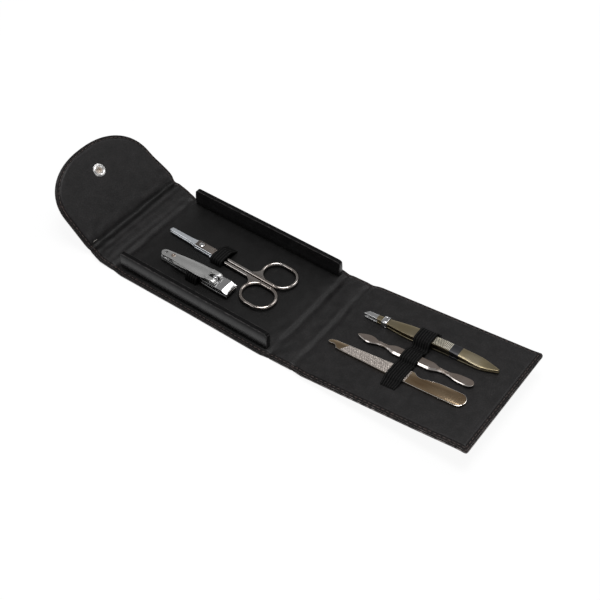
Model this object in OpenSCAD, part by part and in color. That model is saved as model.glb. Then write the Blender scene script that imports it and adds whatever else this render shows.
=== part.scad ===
// Manicure set case, lying open: a tray with two side walls, a cover and a closing flap,
// each joined to the tray by a narrow spine, with five steel tools held by elastic bands.
// Millimetres. +X runs along the open case towards the cover, +Y to the far side, +Z up.
// The origin is the middle of the tray's underside.

/* [Case panels] */
// Width of the case across its folds
case_w = 76; // [74:1:90]
// Length of the tray between its two folds
tray_l = 112; // [111:1:125]
// Length of the cover beyond its fold
cover_l = 106.5; // [104:0.5:107]
// Length of the flap beyond its fold
flap_l = 50; // [46:1:56]
// Thickness of the outer skin
skin_t = 0.8; // [0.6:0.1:1]
// Thickness of the stiffening boards
board_t = 1.4; // [1.3:0.1:1.8]
// Thickness of the lining
lining_t = 0.6; // [0.5:0.1:0.8]
// Width of the sewn seam round a panel, without board
seam_w = 2.6; // [2:0.1:3.5]
// How much narrower the spines are drawn in on each side
spine_pinch = 0.8; // [0.4:0.1:1.5]
// Corner radius of the cover's free end
cover_corner_r = 1.5; // [1:0.5:6]

/* [Resting angles, degrees] */
// Cover spine above the table
cover_spine_rest = 3.3; // [2:0.1:5]
// Cover above the table
cover_rest = 6.6; // [5:0.1:9]
// Flap spine above the table
flap_spine_rest = 7; // [5:0.5:25]
// Flap above the table
flap_rest = 43; // [30:0.5:50]

/* [Side walls] */
// Height of the walls' top above the table
wall_top = 13.6; // [13.6:0.1:16]
// Thickness of a wall with its skin
wall_t = 3.6; // [3:0.1:4.4]
// Thickness of the board inside a wall
wall_board_t = 2; // [1.4:0.1:2.4]
// Length of the walls
wall_l = 105.2; // [96:0.2:106]
// Ledge outside the walls
wall_ledge = 2.6; // [2:0.1:3]
// Corner radius at the walls' ends
wall_corner_r = 2.2; // [1:0.1:3]

/* [Press stud] */
// Distance of the press stud from the flap's fold
snap_x = 33.5; // [28:0.5:36]
// Outer diameter of the socket
socket_d = 8.6; // [8:0.1:10]
// Height of the socket's rim above the lining
socket_h = 0.9; // [0.7:0.1:1.1]
// Diameter of the stud's ball
stud_ball_d = 3.5; // [3.2:0.1:3.6]
// Thickness of the stud's flange
stud_flange_t = 0.5; // [0.4:0.1:0.6]
// Diameter of the cap on the flap's outer face
cap_d = 9.6; // [9:0.1:11]

/* [Elastic bands] */
// Thickness of the elastic
elastic_t = 0.85; // [0.7:0.05:0.9]
// Width of the two loops on the tray
loop_w = 8; // [6:0.5:8.5]
// Width of the band on the cover
band_w = 10; // [8:0.5:11]
// Ribs across a loop
loop_ribs = 5; // [4:1:7]
// Ribs across the cover's band
band_ribs = 7; // [5:1:8]
// Height of the ribs
rib_h = 0.2; // [0.1:0.05:0.3]

/* [Scissors] */
// Blade length in front of the pivot
blade_l = 23.4; // [20:0.2:24]
// Blade width at its root
blade_w = 4.6; // [4:0.1:5]
// Distance from the pivot to the middle of the bows
bow_x = 50; // [48:0.5:52]
// Width of a finger bow's centre line
bow_w = 16; // [14:0.5:17]
// Straight length in a finger bow
bow_straight = 4.6; // [3:0.2:6]
// Diameter of the bow's round bar
bow_bar_d = 2.2; // [2.1:0.1:2.8]
// Diameter of the round shanks
shank_d = 2.9; // [2.6:0.1:3]
// Diameter of the pivot screw
screw_d = 1.8; // [1.5:0.1:2]
// Diameter of the screw's head
screw_head_d = 3.2; // [2.8:0.1:3.6]

/* [Nail clipper] */
// Length of the clipper's jaws
clipper_l = 51.5; // [50:0.5:52]
// Width of the jaws at the cutting edge
jaw_w = 9.4; // [8.8:0.1:10]
// Sheet thickness of the jaws
jaw_t = 1.2; // [1:0.05:1.2]
// Diameter of the post that holds the lever
post_d = 2.4; // [2:0.1:2.6]
// Height of the lever's rocking axis above the lining
lever_z = 7.5; // [7.4:0.1:7.6]
// Sheet thickness of the lever
lever_t = 1; // [0.9:0.05:1.1]
// Greatest width of the lever
lever_w = 10.2; // [9:0.1:10.4]
// Slope of the stored lever
lever_slope = 2.5; // [2:0.1:3]
// Diameter of the hole through the tail
tail_hole_d = 2.2; // [2:0.1:2.4]

/* [Tools on the cover] */
// Length of the tweezers
tweezers_l = 83; // [80:0.5:84]
// Width of the tweezers' arms
tweezers_w = 8; // [7.6:0.1:9.4]
// Sheet thickness of the tweezers' arms
tweezers_t = 1; // [0.8:0.05:1]
// Length of the cuticle pusher
pusher_l = 71.6; // [66:0.2:74]
// Width of the pusher's flat handle
pusher_w = 6; // [5:0.1:6.4]
// Thickness of the pusher's flat handle
pusher_t = 2.4; // [1.8:0.1:2.4]
// Length of the nail file
file_l = 85; // [80:0.5:88]
// Width of the nail file's handle
file_w = 9.2; // [8.6:0.1:10.6]
// Width of the nail file behind its hooked tip
file_tip_w = 5.8; // [5:0.1:8]
// Thickness of the nail file
file_t = 1.3; // [1:0.1:1.4]

/* [Hidden] */
$fn = 48;
eps = 0.01;
cut_h = 12;

// Clearances
lie = 0.15;        // a tool above the lining it lies on
shut_gap = 0.15;   // the closed cover above the walls
snap_gap = 0.1;    // the closed socket above the stud's flange
sheet_gap = 0.05;  // pieces of one panel beside each other
run_gap = 0.05;    // a pin in its bore, on the radius
fold_gap = 0.3;    // panels past each other at a closed fold

// Panel stack, measured from the outer face
panel_t = skin_t + board_t + lining_t;
axis_z = skin_t / 2;
board_z = skin_t;
lining_z = skin_t + board_t;
fold_set = panel_t - axis_z + fold_gap;
spine_w = case_w - 2 * spine_pinch;

// Spine lengths follow from the closed case: cover on the walls, flap on the cover
cover_spine_l = wall_top + shut_gap + panel_t - 2 * axis_z;
snap_stack = stud_flange_t + socket_h + snap_gap;
flap_spine_l = cover_spine_l + panel_t + snap_stack;

// Side walls
wall_y = case_w / 2 - wall_ledge - wall_t / 2;
wall_foot_h = 1;
wall_foot_inset = 0.6;
wall_edge_r = 1.2;
wall_board_inset = 2;

// Flap outline: a straight start, then a broad rounded end
flap_w = case_w - 2.4;
flap_straight = flap_l * 0.45;
flap_power = 2.2;

// Press stud
snap_cover_x = tray_l - snap_x;
socket_bore_r = stud_ball_d / 2 + 0.2;
socket_tube_r = socket_bore_r + 0.5;
stud_neck_r = stud_ball_d / 2 - 0.5;
stud_h = 3.1;
stud_ball_h = 1.2;
cap_h = 1.2;
cap_flange_r = 2.2;
cap_flange_t = 0.2;
cap_post_r = 1.5;
snap_wire_d = 0.4;
snap_wire_x = stud_neck_r + snap_wire_d / 2 + 0.05;
stud_base_r = 3;
stud_base_t = 0.3;
stud_tube_r = 1.2;

// Elastic bands: places of the loops on the tray, tab under the lining
tab_l = 2.5;
tab_t = 0.7;
tab_room = 0.6;
slit_gap = 0.1;
side_gap = 0.4;
over_gap = 0.15;
loop_leg = 1.2;
band_run = 1.4;
band_tail = 5.8;
scissors_set = 31.8;
scissors_loop_set = 10;
clipper_set = 17;
clipper_loop_set = 22.5;
scissors_loop_x = -tray_l / 2 + scissors_set + scissors_loop_set;
scissors_loop_near = -1.6;
scissors_loop_far = 13.4;
clipper_loop_x = -tray_l / 2 + clipper_set + clipper_loop_set;
band_x = 45.5;

// Scissors
scissors_pos = [-tray_l / 2 + scissors_set, 3.2];
scissors_turn = -1.5;
half_low = 0.5;
half_mid = 2.2;
half_split = 0.05;
half_high = 3.9;
blade_cut = 0.3;
block_w = 5.2;
block_back = 9.6;
block_front = 3.8;
shank_start = 10.4;
shank_y = 0.2 + shank_d / 2;
shank_z = lie + 0.15 + shank_d / 2;
blade_tip_r = 1.2;
blade_tip_cut = 0.5;
shank_overlap = 1.4;
nub_r = 0.7;
web_l = 10;
web_w = 5;
groove_n = 6;
groove_pitch = 1;
groove_w = 0.4;
groove_deep = 0.15;
screw_slot_w = 0.4;
screw_slot_deep = 0.25;
screw_head_h = 0.5;
bow_y = shank_y + bow_w / 2;
screw_head_low = 0.35;

// Nail clipper
clipper_pos = [-tray_l / 2 + clipper_set, -15];
clipper_tail_r = 4;
post_x = clipper_l - 11.5;
eyelet_x = clipper_tail_r;
eyelet_r = tail_hole_d / 2 + 0.7;
eyelet_flange_r = eyelet_r + 0.6;
eyelet_flange_t = 0.2;
edge_curve_r = 13;
edge_curve_in = 0.8;
low_z = lie + eyelet_flange_t + jaw_t / 2;
high_z = low_z + jaw_t + 0.1;
low_bend = 0.7;
mouth_gap = 1;
low_path = [[0, low_z], [post_x * 0.6, low_z + 0.05], [post_x - 5, low_z + low_bend],
            [post_x + 4, low_z + low_bend], [clipper_l, low_z + low_bend + 0.1]];
high_path = [[0, high_z], [clipper_tail_r * 2, high_z], [post_x - 6, high_z + 1.7],
             [post_x + 2, high_z + 2.25],
             [clipper_l, low_z + low_bend + 0.1 + jaw_t + mouth_gap]];
post_head_r = 2;
post_head_t = 0.65;
post_top = 0.7;
trunnion_d = 0.9;
heel = 2.2;
fork_w = post_d + 0.5;
fork_back = 2.8;
lever_tail_r = 2.3;
lever_eye_x = -(post_x - eyelet_x);
lever_l = post_x - eyelet_x + 3.5;
lever_wide_x = -lever_l / 4;
lever_heel_w = lever_w - 2.4;
file_pivot_x = lever_eye_x + 5;
trunnion_l = 1.1;
rivet_d = 1.4;
rivet_head_r = 1.3;
rivet_head_t = 0.25;
swing_file_l = 26;
swing_file_w = 4.6;
swing_file_t = 0.8;
swing_file_gap = 0.1;

// Tools on the cover, from the cover's fold
tweezers_pos = [11.4, 14.8];
tweezers_z = lie + 0.8 + tweezers_t / 2;
tip_end = tweezers_l * 0.12;
grip_start = tweezers_l * 0.41;
grip_mid = tweezers_l * 0.58;
grip_end = tweezers_l * 0.72;
tail_start = tweezers_l * 0.89;
tail_end = tweezers_l * 0.95;
tweezers_lie = lie + tweezers_t / 2;
tweezers_over = tweezers_z + tweezers_t;
tail_over = lie + 1.5 * tweezers_t;
tip_gap = 0.45;
ring_arm_gap = 0.55;
tweezers_low = [[0, tweezers_z + 0.25], [tip_end, tweezers_z], [1.8 * tip_end, tweezers_z],
                [grip_start, tweezers_lie], [grip_end, tweezers_lie],
                [(grip_end + tweezers_l) / 2, tweezers_lie + 0.25],
                [tweezers_l, tweezers_lie + 0.55]];
tweezers_high = [[0, tweezers_over + 0.25 + tip_gap], [tip_end, tweezers_over + ring_arm_gap],
                 [1.8 * tip_end, tweezers_over + ring_arm_gap], [grip_start, tweezers_over + 1.55],
                 [grip_mid, tweezers_over + 2.05], [grip_end, tweezers_over + 1.45],
                 [tail_start, tail_over + 0.6], [tail_end, tail_over + 0.57],
                 [tweezers_l, tail_over + 0.65]];
tip_w = 3.4;
tip_slant = 25;
tip_block = 4;
ring_x = 12;
ring_l = 3.4;
arm_point = 1.2;
ring_t = 0.45;
ring_gap = 0.12;
ring_w = 6.4;
pusher_pos = [16.4, 0.2];
pusher_neck_d = 2.2;
pusher_end_l = 15;
pusher_end_w = 5.4;
pusher_neck_l = 7;
pusher_blade_t = 1;
pusher_point = 0.3;
file_pos = [5.7, -12.3];
file_notch_x = file_l * 0.694;
file_grip_x = file_l * 0.58;
file_notch_r = 5;
file_notch_in = 1.1;
file_hook_l = 7;
file_hook_r = 3.2;
file_hook_set = 0.4;

// Places of the hinged panels. Inside each, x runs outwards from the fold and z = 0 is the
// outer face. Flap parts are drawn like cover parts and mirrored.
module hinged(x, angle) {
    translate([x, 0, axis_z]) rotate([0, -angle, 0]) translate([0, 0, -axis_z]) children();
}

module on_cover_spine() {
    hinged(tray_l / 2, cover_spine_rest) children();
}

module on_cover() {
    on_cover_spine() hinged(cover_spine_l, cover_rest - cover_spine_rest) children();
}

module on_flap_spine() {
    mirror([1, 0, 0]) hinged(tray_l / 2, flap_spine_rest) children();
}

module on_flap() {
    on_flap_spine() hinged_flap() children();
}

module hinged_flap() {
    hinged(flap_spine_l, flap_rest - flap_spine_rest) children();
}

// Flat shapes
module slab(x0, x1, w, z0, z1) {
    translate([x0, -w / 2, z0]) cube([x1 - x0, w, z1 - z0]);
}

module tongue_2d(x0, x1, w, r) {
    translate([x0, -w / 2]) square([x1 - x0 - r, w]);
    translate([x0, -w / 2 + r]) square([x1 - x0, w - 2 * r]);
    for (side = [-1, 1]) translate([x1 - r, side * (w / 2 - r)]) circle(r);
}

function reversed(path) = [for (i = [len(path) - 1:-1:0]) path[i]];
function lifted(path, dz) = [for (p = path) [p.x, p.y + dz]];
function level(path, x) =
    let (i = max([for (k = [0:len(path) - 2]) path[k].x <= x ? k : 0]))
    path[i].y + (path[i + 1].y - path[i].y) * (x - path[i].x) / (path[i + 1].x - path[i].x);

// A strip of sheet that follows a side profile in X and Z, centred on Y
module ribbon(path, t, w) {
    rotate([90, 0, 0]) linear_extrude(height = w, center = true)
        polygon(concat(lifted(path, -t / 2), reversed(lifted(path, t / 2))));
}

// The soft band across a fold, skin and lining without board, bent by an angle.
// It reaches from the panel before the fold to the panel after it.
module fold_band(x, w, angle) {
    e = fold_set - 2 * eps;
    t = skin_t + lining_t;
    function turned(p) = [p.x * cos(angle) - (p.y - axis_z) * sin(angle),
                          p.x * sin(angle) + (p.y - axis_z) * cos(angle) + axis_z];
    translate([x, 0, 0]) rotate([90, 0, 0]) linear_extrude(height = w, center = true)
        polygon([[-e, 0], [axis_z * tan(angle / 2), 0], turned([e, 0]), turned([e, t]),
                 [-(t - axis_z) * tan(angle / 2), t], [-e, t]]);
}

// Tray
tray_in = tray_l / 2 - fold_set;

module tray_skin() {
    color("#1b1b1c") difference() {
        slab(-tray_in, tray_in, case_w, 0, lining_z);
        slab(-tray_in - 1, tray_in + 1, case_w - 2 * seam_w, board_z, lining_z + 1);
    }
}

module tray_board() {
    color("#8a8580") difference() {
        slab(-tray_in, tray_in, case_w - 2 * seam_w - 2 * sheet_gap, board_z, lining_z);
        loop_pocket(scissors_loop_x, loop_w, scissors_path);
        loop_pocket(clipper_loop_x, loop_w, clipper_path);
    }
}

module tray_lining() {
    color("#262526") difference() {
        slab(-tray_in, tray_in, case_w - 1, lining_z, panel_t);
        loop_slits(scissors_loop_x, loop_w, scissors_path);
        loop_slits(clipper_loop_x, loop_w, clipper_path);
    }
}

// Side walls: a board wrapped in skin, narrower at the sewn foot
module wall_profile() {
    r = wall_edge_r;
    h = wall_top - panel_t;
    translate([-wall_t / 2, wall_foot_h]) square([wall_t, h - wall_foot_h - r]);
    translate([-wall_t / 2 + r, wall_foot_h]) square([wall_t - 2 * r, h - wall_foot_h]);
    translate([-wall_t / 2 + wall_foot_inset, 0])
        square([wall_t - 2 * wall_foot_inset, h - r]);
    for (side = [-1, 1]) translate([side * (wall_t / 2 - r), h - r]) circle(r);
}

module wall_side() {
    r = wall_corner_r;
    h = wall_top - panel_t;
    translate([-wall_l / 2, 0]) square([wall_l, h - r]);
    translate([-wall_l / 2 + r, 0]) square([wall_l - 2 * r, h]);
    for (side = [-1, 1]) translate([side * (wall_l / 2 - r), h - r]) circle(r);
}

module wall_board(side) {
    grow = wall_board_inset;
    translate([0, side * wall_y, 0])
        slab(-wall_l / 2 + grow, wall_l / 2 - grow, wall_board_t,
             panel_t + wall_foot_h, wall_top - grow / 2);
}

module wall_skin(side) {
    difference() {
        translate([0, side * wall_y, panel_t]) intersection() {
            translate([-wall_l / 2, 0, 0]) rotate([90, 0, 90])
                linear_extrude(height = wall_l) wall_profile();
            rotate([90, 0, 0]) linear_extrude(height = wall_t + 1, center = true) wall_side();
        }
        wall_board(side);
    }
}

module near_wall_skin() {
    color("#1d1d1e") wall_skin(-1);
}

module near_wall_board() {
    color("#8a8580") wall_board(-1);
}

module far_wall_skin() {
    color("#1d1d1e") wall_skin(1);
}

module far_wall_board() {
    color("#8a8580") wall_board(1);
}

// Elastic bands. A path runs across the band in Y and Z above the lining.
// hump() carries it over one tool, from the level it lies on between tools.
function hump(y0, y1, h, run, rest) = [[y0 - run, rest], [y0, h], [y1, h], [y1 + run, rest]];

scissors_path = [[scissors_loop_near, 0],
                 [scissors_loop_near + 1.1, shank_z + shank_d / 2 + over_gap],
                 [scissors_loop_near + 8.2, shank_z + shank_d / 2 + over_gap],
                 [scissors_loop_far, 0]];
clipper_loop_end = clipper_loop_x + loop_w - clipper_pos.x;
clipper_path = hump(clipper_pos.y - jaw_w / 2 - slit_gap, clipper_pos.y + jaw_w / 2 + slit_gap,
                    level(high_path, clipper_loop_end) + jaw_t / 2 + slit_gap, loop_leg, 0);
band_flat = 0.05;
band_end = band_x + band_w - tweezers_pos.x;
tweezers_hump = hump(tweezers_pos.y - tweezers_w / 2 - side_gap,
                     tweezers_pos.y + tweezers_w / 2 + side_gap,
                     level(tweezers_high, band_end) + tweezers_t / 2 + over_gap,
                     band_run * 1.3, band_flat);
pusher_hump = hump(pusher_pos.y - pusher_w / 2 - side_gap, pusher_pos.y + pusher_w / 2 + side_gap,
                   lie + pusher_t + over_gap, band_run, band_flat);
file_hump = hump(file_pos.y - file_w / 2 - side_gap, file_pos.y + file_w / 2 + side_gap,
                 lie + file_t + over_gap, band_run * 0.85, band_flat);
band_near = file_hump[0].x - band_tail;
band_far = tweezers_hump[3].x + band_run * 1.3;
band_path = concat([[band_near, 0]], [for (i = [1:3]) file_hump[i]], pusher_hump,
                   tweezers_hump, [[band_far, 0]]);

function ends(path) = [path[0].x, path[len(path) - 1].x];

module elastic(x, w, path, ribs) {
    pitch = w / ribs;
    translate([x, 0, panel_t]) {
        rotate([90, 0, 90]) linear_extrude(height = w)
            polygon(concat(path, reversed(lifted(path, elastic_t - rib_h))));
        for (i = [0:ribs - 1]) translate([(i + 0.2) * pitch, 0, 0]) rotate([90, 0, 90])
            linear_extrude(height = 0.6 * pitch)
                polygon(concat(path, reversed(lifted(path, elastic_t))));
        for (k = [0, 1]) {
            out = k == 0 ? -1 : 1;
            translate([0, ends(path)[k] - elastic_t / 2, -lining_t - tab_t - sheet_gap])
                cube([w, elastic_t, lining_t + tab_t + sheet_gap + elastic_t - rib_h]);
            translate([0, ends(path)[k] + (out - 1) / 2 * tab_l, -lining_t - tab_t - sheet_gap])
                cube([w, tab_l, tab_t]);
        }
    }
}

module loop_slits(x, w, path) {
    for (y = ends(path)) translate([x - slit_gap, y - elastic_t / 2 - slit_gap, lining_z - 1])
        cube([w + 2 * slit_gap, elastic_t + 2 * slit_gap, lining_t + 2]);
}

module loop_pocket(x, w, path) {
    depth = tab_t + 2 * sheet_gap;
    for (k = [0, 1]) {
        out = k == 0 ? -1 : 1;
        inner = ends(path)[k] + (out - 1) / 2 * tab_l - (out + 1) / 2 * tab_room;
        translate([x - slit_gap, inner - slit_gap, lining_z - depth])
            cube([w + 2 * slit_gap, tab_l + tab_room + 2 * slit_gap, depth + 1]);
    }
}

module scissors_loop() {
    color("#141414") elastic(scissors_loop_x, loop_w, scissors_path, loop_ribs);
}

module clipper_loop() {
    color("#141414") elastic(clipper_loop_x, loop_w, clipper_path, loop_ribs);
}

module tray_cover_fold() {
    color("#202021") fold_band(tray_l / 2, spine_w, cover_spine_rest);
}

module tray_flap_fold() {
    color("#202021") mirror([1, 0, 0]) fold_band(tray_l / 2, spine_w, flap_spine_rest);
}

// Spines
module spine_skin(l) {
    difference() {
        slab(fold_set, l - fold_set, spine_w, 0, lining_z);
        slab(0, l, spine_w - 2 * seam_w, board_z, lining_z + 1);
    }
}

module spine_board(l) {
    slab(fold_set, l - fold_set, spine_w - 2 * seam_w - 2 * sheet_gap, board_z, lining_z);
}

module spine_lining(l) {
    slab(fold_set, l - fold_set, spine_w - 1, lining_z, panel_t);
}

module cover_spine_skin() {
    color("#1b1b1c") on_cover_spine() spine_skin(cover_spine_l);
}

module cover_spine_board() {
    color("#8a8580") on_cover_spine() spine_board(cover_spine_l);
}

module cover_spine_lining() {
    color("#262526") on_cover_spine() spine_lining(cover_spine_l);
}

module cover_fold() {
    color("#202021") on_cover_spine()
        fold_band(cover_spine_l, spine_w, cover_rest - cover_spine_rest);
}

module flap_spine_skin() {
    color("#1b1b1c") on_flap_spine() spine_skin(flap_spine_l);
}

module flap_spine_board() {
    color("#8a8580") on_flap_spine() spine_board(flap_spine_l);
}

module flap_spine_lining() {
    color("#262526") on_flap_spine() spine_lining(flap_spine_l);
}

module flap_fold() {
    color("#202021") on_flap_spine()
        fold_band(flap_spine_l, spine_w, flap_rest - flap_spine_rest);
}

// Cover
module cover_skin() {
    color("#1b1b1c") on_cover() difference() {
        linear_extrude(height = lining_z) tongue_2d(fold_set, cover_l, case_w, cover_corner_r);
        slab(0, cover_l - seam_w, case_w - 2 * seam_w, board_z, lining_z + 1);
        translate([snap_cover_x, 0, -1]) cylinder(r = stud_tube_r + run_gap, h = panel_t);
    }
}

module cover_board() {
    color("#8a8580") on_cover() difference() {
        slab(fold_set, cover_l - seam_w - sheet_gap, case_w - 2 * seam_w - 2 * sheet_gap,
             board_z, lining_z);
        loop_pocket(band_x, band_w, band_path);
        translate([snap_cover_x, 0, -1]) cylinder(r = stud_tube_r + run_gap, h = panel_t + 1);
        translate([snap_cover_x, 0, lining_z - stud_base_t - sheet_gap])
            cylinder(r = stud_base_r + sheet_gap, h = 1);
    }
}

module cover_lining() {
    color("#262526") on_cover() difference() {
        translate([0, 0, lining_z]) linear_extrude(height = lining_t)
            tongue_2d(fold_set, cover_l - 0.5, case_w - 1, cover_corner_r - 0.5);
        loop_slits(band_x, band_w, band_path);
    }
}

module cover_band() {
    color("#141414") on_cover() elastic(band_x, band_w, band_path, band_ribs);
}

// Press stud: the stud stands on the cover's outer face, its base is under the lining
module stud() {
    color("#c9cbcd") on_cover() translate([snap_cover_x, 0, 0]) mirror([0, 0, 1])
        rotate_extrude() difference() {
            union() {
                square([socket_d / 2 - 0.3, stud_flange_t]);
                square([stud_neck_r, stud_h - stud_ball_h / 2]);
                translate([0, stud_h - stud_ball_h]) square([stud_ball_d / 2 - 0.3, stud_ball_h]);
                translate([0, stud_h - stud_ball_h + 0.3])
                    square([stud_ball_d / 2, stud_ball_h - 0.6]);
            }
            translate([-1, -1]) square([1 + stud_tube_r - 0.4, 1 + stud_flange_t + 0.4]);
        }
}

module stud_base() {
    color("#c9cbcd") on_cover() translate([snap_cover_x, 0, 0]) {
        translate([0, 0, eps]) cylinder(r = stud_tube_r - 0.45, h = lining_z - 0.1);
        translate([0, 0, lining_z - stud_base_t - eps]) cylinder(r = stud_base_r, h = stud_base_t);
    }
}

// Flap
function flap_outline(inset) =
    concat([[fold_set, -flap_w / 2 + inset]],
           [for (a = [-90:5:90])
               [flap_straight + (flap_l - inset - flap_straight) * pow(cos(a), 2 / flap_power),
                (flap_w / 2 - inset) * sign(a) * pow(abs(sin(a)), 2 / flap_power)]],
           [[fold_set, flap_w / 2 - inset]]);

module flap_skin() {
    color("#1b1b1c") on_flap() difference() {
        linear_extrude(height = lining_z) polygon(flap_outline(0));
        intersection() {
            translate([0, 0, board_z]) linear_extrude(height = panel_t) polygon(flap_outline(seam_w));
            slab(fold_set - 1, flap_l, flap_w, 0, panel_t);
        }
        translate([snap_x, 0, -1]) cylinder(r = cap_post_r + run_gap, h = panel_t);
    }
}

module flap_board() {
    color("#8a8580") on_flap() difference() {
        translate([0, 0, board_z]) linear_extrude(height = board_t)
            polygon(flap_outline(seam_w + sheet_gap));
        translate([snap_x, 0, 0]) cylinder(r = socket_tube_r + sheet_gap, h = panel_t);
    }
}

module flap_lining() {
    color("#262526") on_flap() difference() {
        translate([0, 0, lining_z]) linear_extrude(height = lining_t) polygon(flap_outline(0.5));
        translate([snap_x, 0, 0]) cylinder(r = socket_tube_r + sheet_gap, h = panel_t + 1);
    }
}

module snap_cap() {
    dome_r = (pow(cap_d / 2, 2) + pow(cap_h, 2)) / (2 * cap_h);
    color("#c9cbcd") on_flap() translate([snap_x, 0, 0]) {
        intersection() {
            translate([0, 0, dome_r - cap_h]) sphere(r = dome_r, $fn = 96);
            translate([0, 0, -cap_h - 1]) cylinder(d = cap_d + 1, h = cap_h + 1 - eps);
        }
        translate([0, 0, -0.5]) cylinder(r = cap_post_r, h = skin_t + 0.5 + eps);
        translate([0, 0, skin_t + eps]) cylinder(r = cap_flange_r, h = cap_flange_t);
    }
}

module snap_socket() {
    low = skin_t + cap_flange_t + 3 * eps;
    color("#c9cbcd") on_flap() translate([snap_x, 0, 0]) difference() {
        union() {
            translate([0, 0, low]) cylinder(r = socket_tube_r, h = panel_t - low + 0.1);
            translate([0, 0, panel_t + eps]) cylinder(d = socket_d, h = 0.3);
            translate([0, 0, panel_t + eps]) cylinder(d = socket_d - 1.6, h = socket_h - eps);
        }
        translate([0, 0, low - 1]) cylinder(r = socket_bore_r, h = panel_t + 3);
        translate([0, 0, panel_t + 0.15]) cylinder(r = socket_bore_r + 0.7, h = snap_wire_d + 0.1);
    }
}

module snap_spring() {
    wire_l = 2 * (socket_bore_r + 0.6);
    color("#55585c") on_flap() translate([snap_x, 0, panel_t + 0.2 + snap_wire_d / 2])
        for (side = [-1, 1]) translate([side * snap_wire_x, 0, 0]) rotate([90, 0, 0])
            cylinder(d = snap_wire_d, h = 0.8 * wire_l, center = true);
}

// Scissors, drawn from the pivot with the bows towards +X
module at_scissors() {
    translate([scissors_pos.x, scissors_pos.y, panel_t]) rotate([0, 0, scissors_turn]) children();
}

module blade_2d() {
    difference() {
        union() {
            polygon([[0, -blade_w / 2], [0, blade_w / 2],
                     [-blade_l + blade_tip_r, blade_tip_r + 0.1],
                     [-blade_l + blade_tip_r, -blade_tip_r - 0.1]]);
            translate([-blade_l + blade_tip_r, 0]) circle(blade_tip_r + 0.1);
        }
        translate([-blade_l + blade_tip_cut, 0]) rotate(15) translate([-blade_w, -blade_w])
            square([blade_w, 2 * blade_w]);
    }
}

// One finger bow with its shank, for the side with that sign
module bow(side) {
    near_end = bow_x - bow_straight / 2;
    far_end = bow_x + bow_straight / 2;
    translate([0, 0, shank_z]) {
        translate([shank_start, side * shank_y, 0]) rotate([0, 90, 0])
            cylinder(d = shank_d, h = far_end - shank_start);
        translate([near_end, side * bow_y, 0]) rotate([0, 0, 90])
            rotate_extrude(angle = 180) translate([bow_w / 2, 0]) circle(d = bow_bar_d);
        translate([far_end, side * bow_y, 0]) rotate([0, 0, -90])
            rotate_extrude(angle = 180) translate([bow_w / 2, 0]) circle(d = bow_bar_d);
        translate([near_end - eps, side * (bow_y + bow_w / 2), 0]) rotate([0, 90, 0])
            cylinder(d = bow_bar_d, h = bow_straight + 2 * eps);
        translate([0, 0, -bow_bar_d / 3]) linear_extrude(height = bow_bar_d * 2 / 3)
            polygon([[near_end - web_l - 3, side * shank_y], [near_end - 3, side * shank_y],
                     [near_end - web_l + 2.8, side * (shank_y + web_w)],
                     [near_end - web_l + 1.8, side * (shank_y + web_w / 2)]]);
    }
}

module scissors_near_arm() {
    color("#c4c6c8") at_scissors() difference() {
        union() {
            translate([0, 0, half_low + blade_cut])
                linear_extrude(height = half_mid - half_low - blade_cut) blade_2d();
            slab(-block_front, block_back, block_w, half_low, half_mid);
            translate([block_back - 1, -block_w / 2, half_low])
                cube([shank_start + shank_overlap - block_back, block_w / 2 - 0.2, half_mid - half_low]);
            translate([block_back - nub_r, -block_w / 2 - nub_r / 2, half_low])
                cylinder(r = nub_r, h = half_mid - half_low);
            bow(-1);
        }
        translate([0, 0, -1]) cylinder(r = screw_d / 2 + run_gap, h = half_high + 2);
    }
}

module scissors_far_arm() {
    color("#c4c6c8") at_scissors() difference() {
        union() {
            translate([0, 0, half_mid + half_split])
                linear_extrude(height = half_high - half_mid - half_split - blade_cut) blade_2d();
            slab(-block_front, block_back, block_w, half_mid + half_split, half_high);
            translate([block_back - 1, 0.2, half_mid + half_split])
                cube([shank_start + shank_overlap - block_back, block_w / 2 - 0.2,
                      shank_z + shank_d / 2 - half_mid - half_split - 0.1]);
            bow(1);
        }
        translate([0, 0, -1]) cylinder(r = screw_d / 2 + run_gap, h = half_high + 2);
        for (i = [0:groove_n - 1])
            translate([screw_head_d / 2 + (i + 1) * groove_pitch, -block_w / 2 + 2 * groove_w,
                       half_high - groove_deep])
                cube([groove_w, block_w - 4 * groove_w, 1]);
    }
}

module scissors_screw() {
    color("#e2e3e4") at_scissors() difference() {
        union() {
            translate([0, 0, lie]) cylinder(r = screw_head_d / 2 - 0.2, h = screw_head_low - 2 * eps);
            translate([0, 0, lie]) cylinder(d = screw_d, h = half_high + screw_head_h - lie - 0.1);
            translate([0, 0, half_high + eps]) cylinder(d = screw_head_d, h = screw_head_h - eps);
        }
        translate([-screw_head_d, -screw_slot_w / 2, half_high + screw_head_h - screw_slot_deep])
            cube([2 * screw_head_d, screw_slot_w, 1]);
    }
}

// Nail clipper, drawn from its tail
module at_clipper() {
    translate([clipper_pos.x, clipper_pos.y, panel_t]) children();
}

module jaw_plan() {
    translate([clipper_tail_r, 0]) circle(clipper_tail_r);
    polygon([[clipper_tail_r, -clipper_tail_r], [post_x, -jaw_w / 2], [clipper_l, -jaw_w / 2],
             [clipper_l, jaw_w / 2], [post_x, jaw_w / 2], [clipper_tail_r, clipper_tail_r]]);
}

module jaw(path, post_r, tail_r) {
    difference() {
        intersection() {
            ribbon(path, jaw_t, jaw_w + 1);
            linear_extrude(height = cut_h) jaw_plan();
        }
        translate([post_x, 0, -1]) cylinder(r = post_r, h = cut_h);
        translate([eyelet_x, 0, -1]) cylinder(r = tail_r, h = cut_h);
        translate([clipper_l + edge_curve_r - edge_curve_in, 0, -1])
            cylinder(r = edge_curve_r, h = cut_h, $fn = 96);
    }
}

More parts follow.
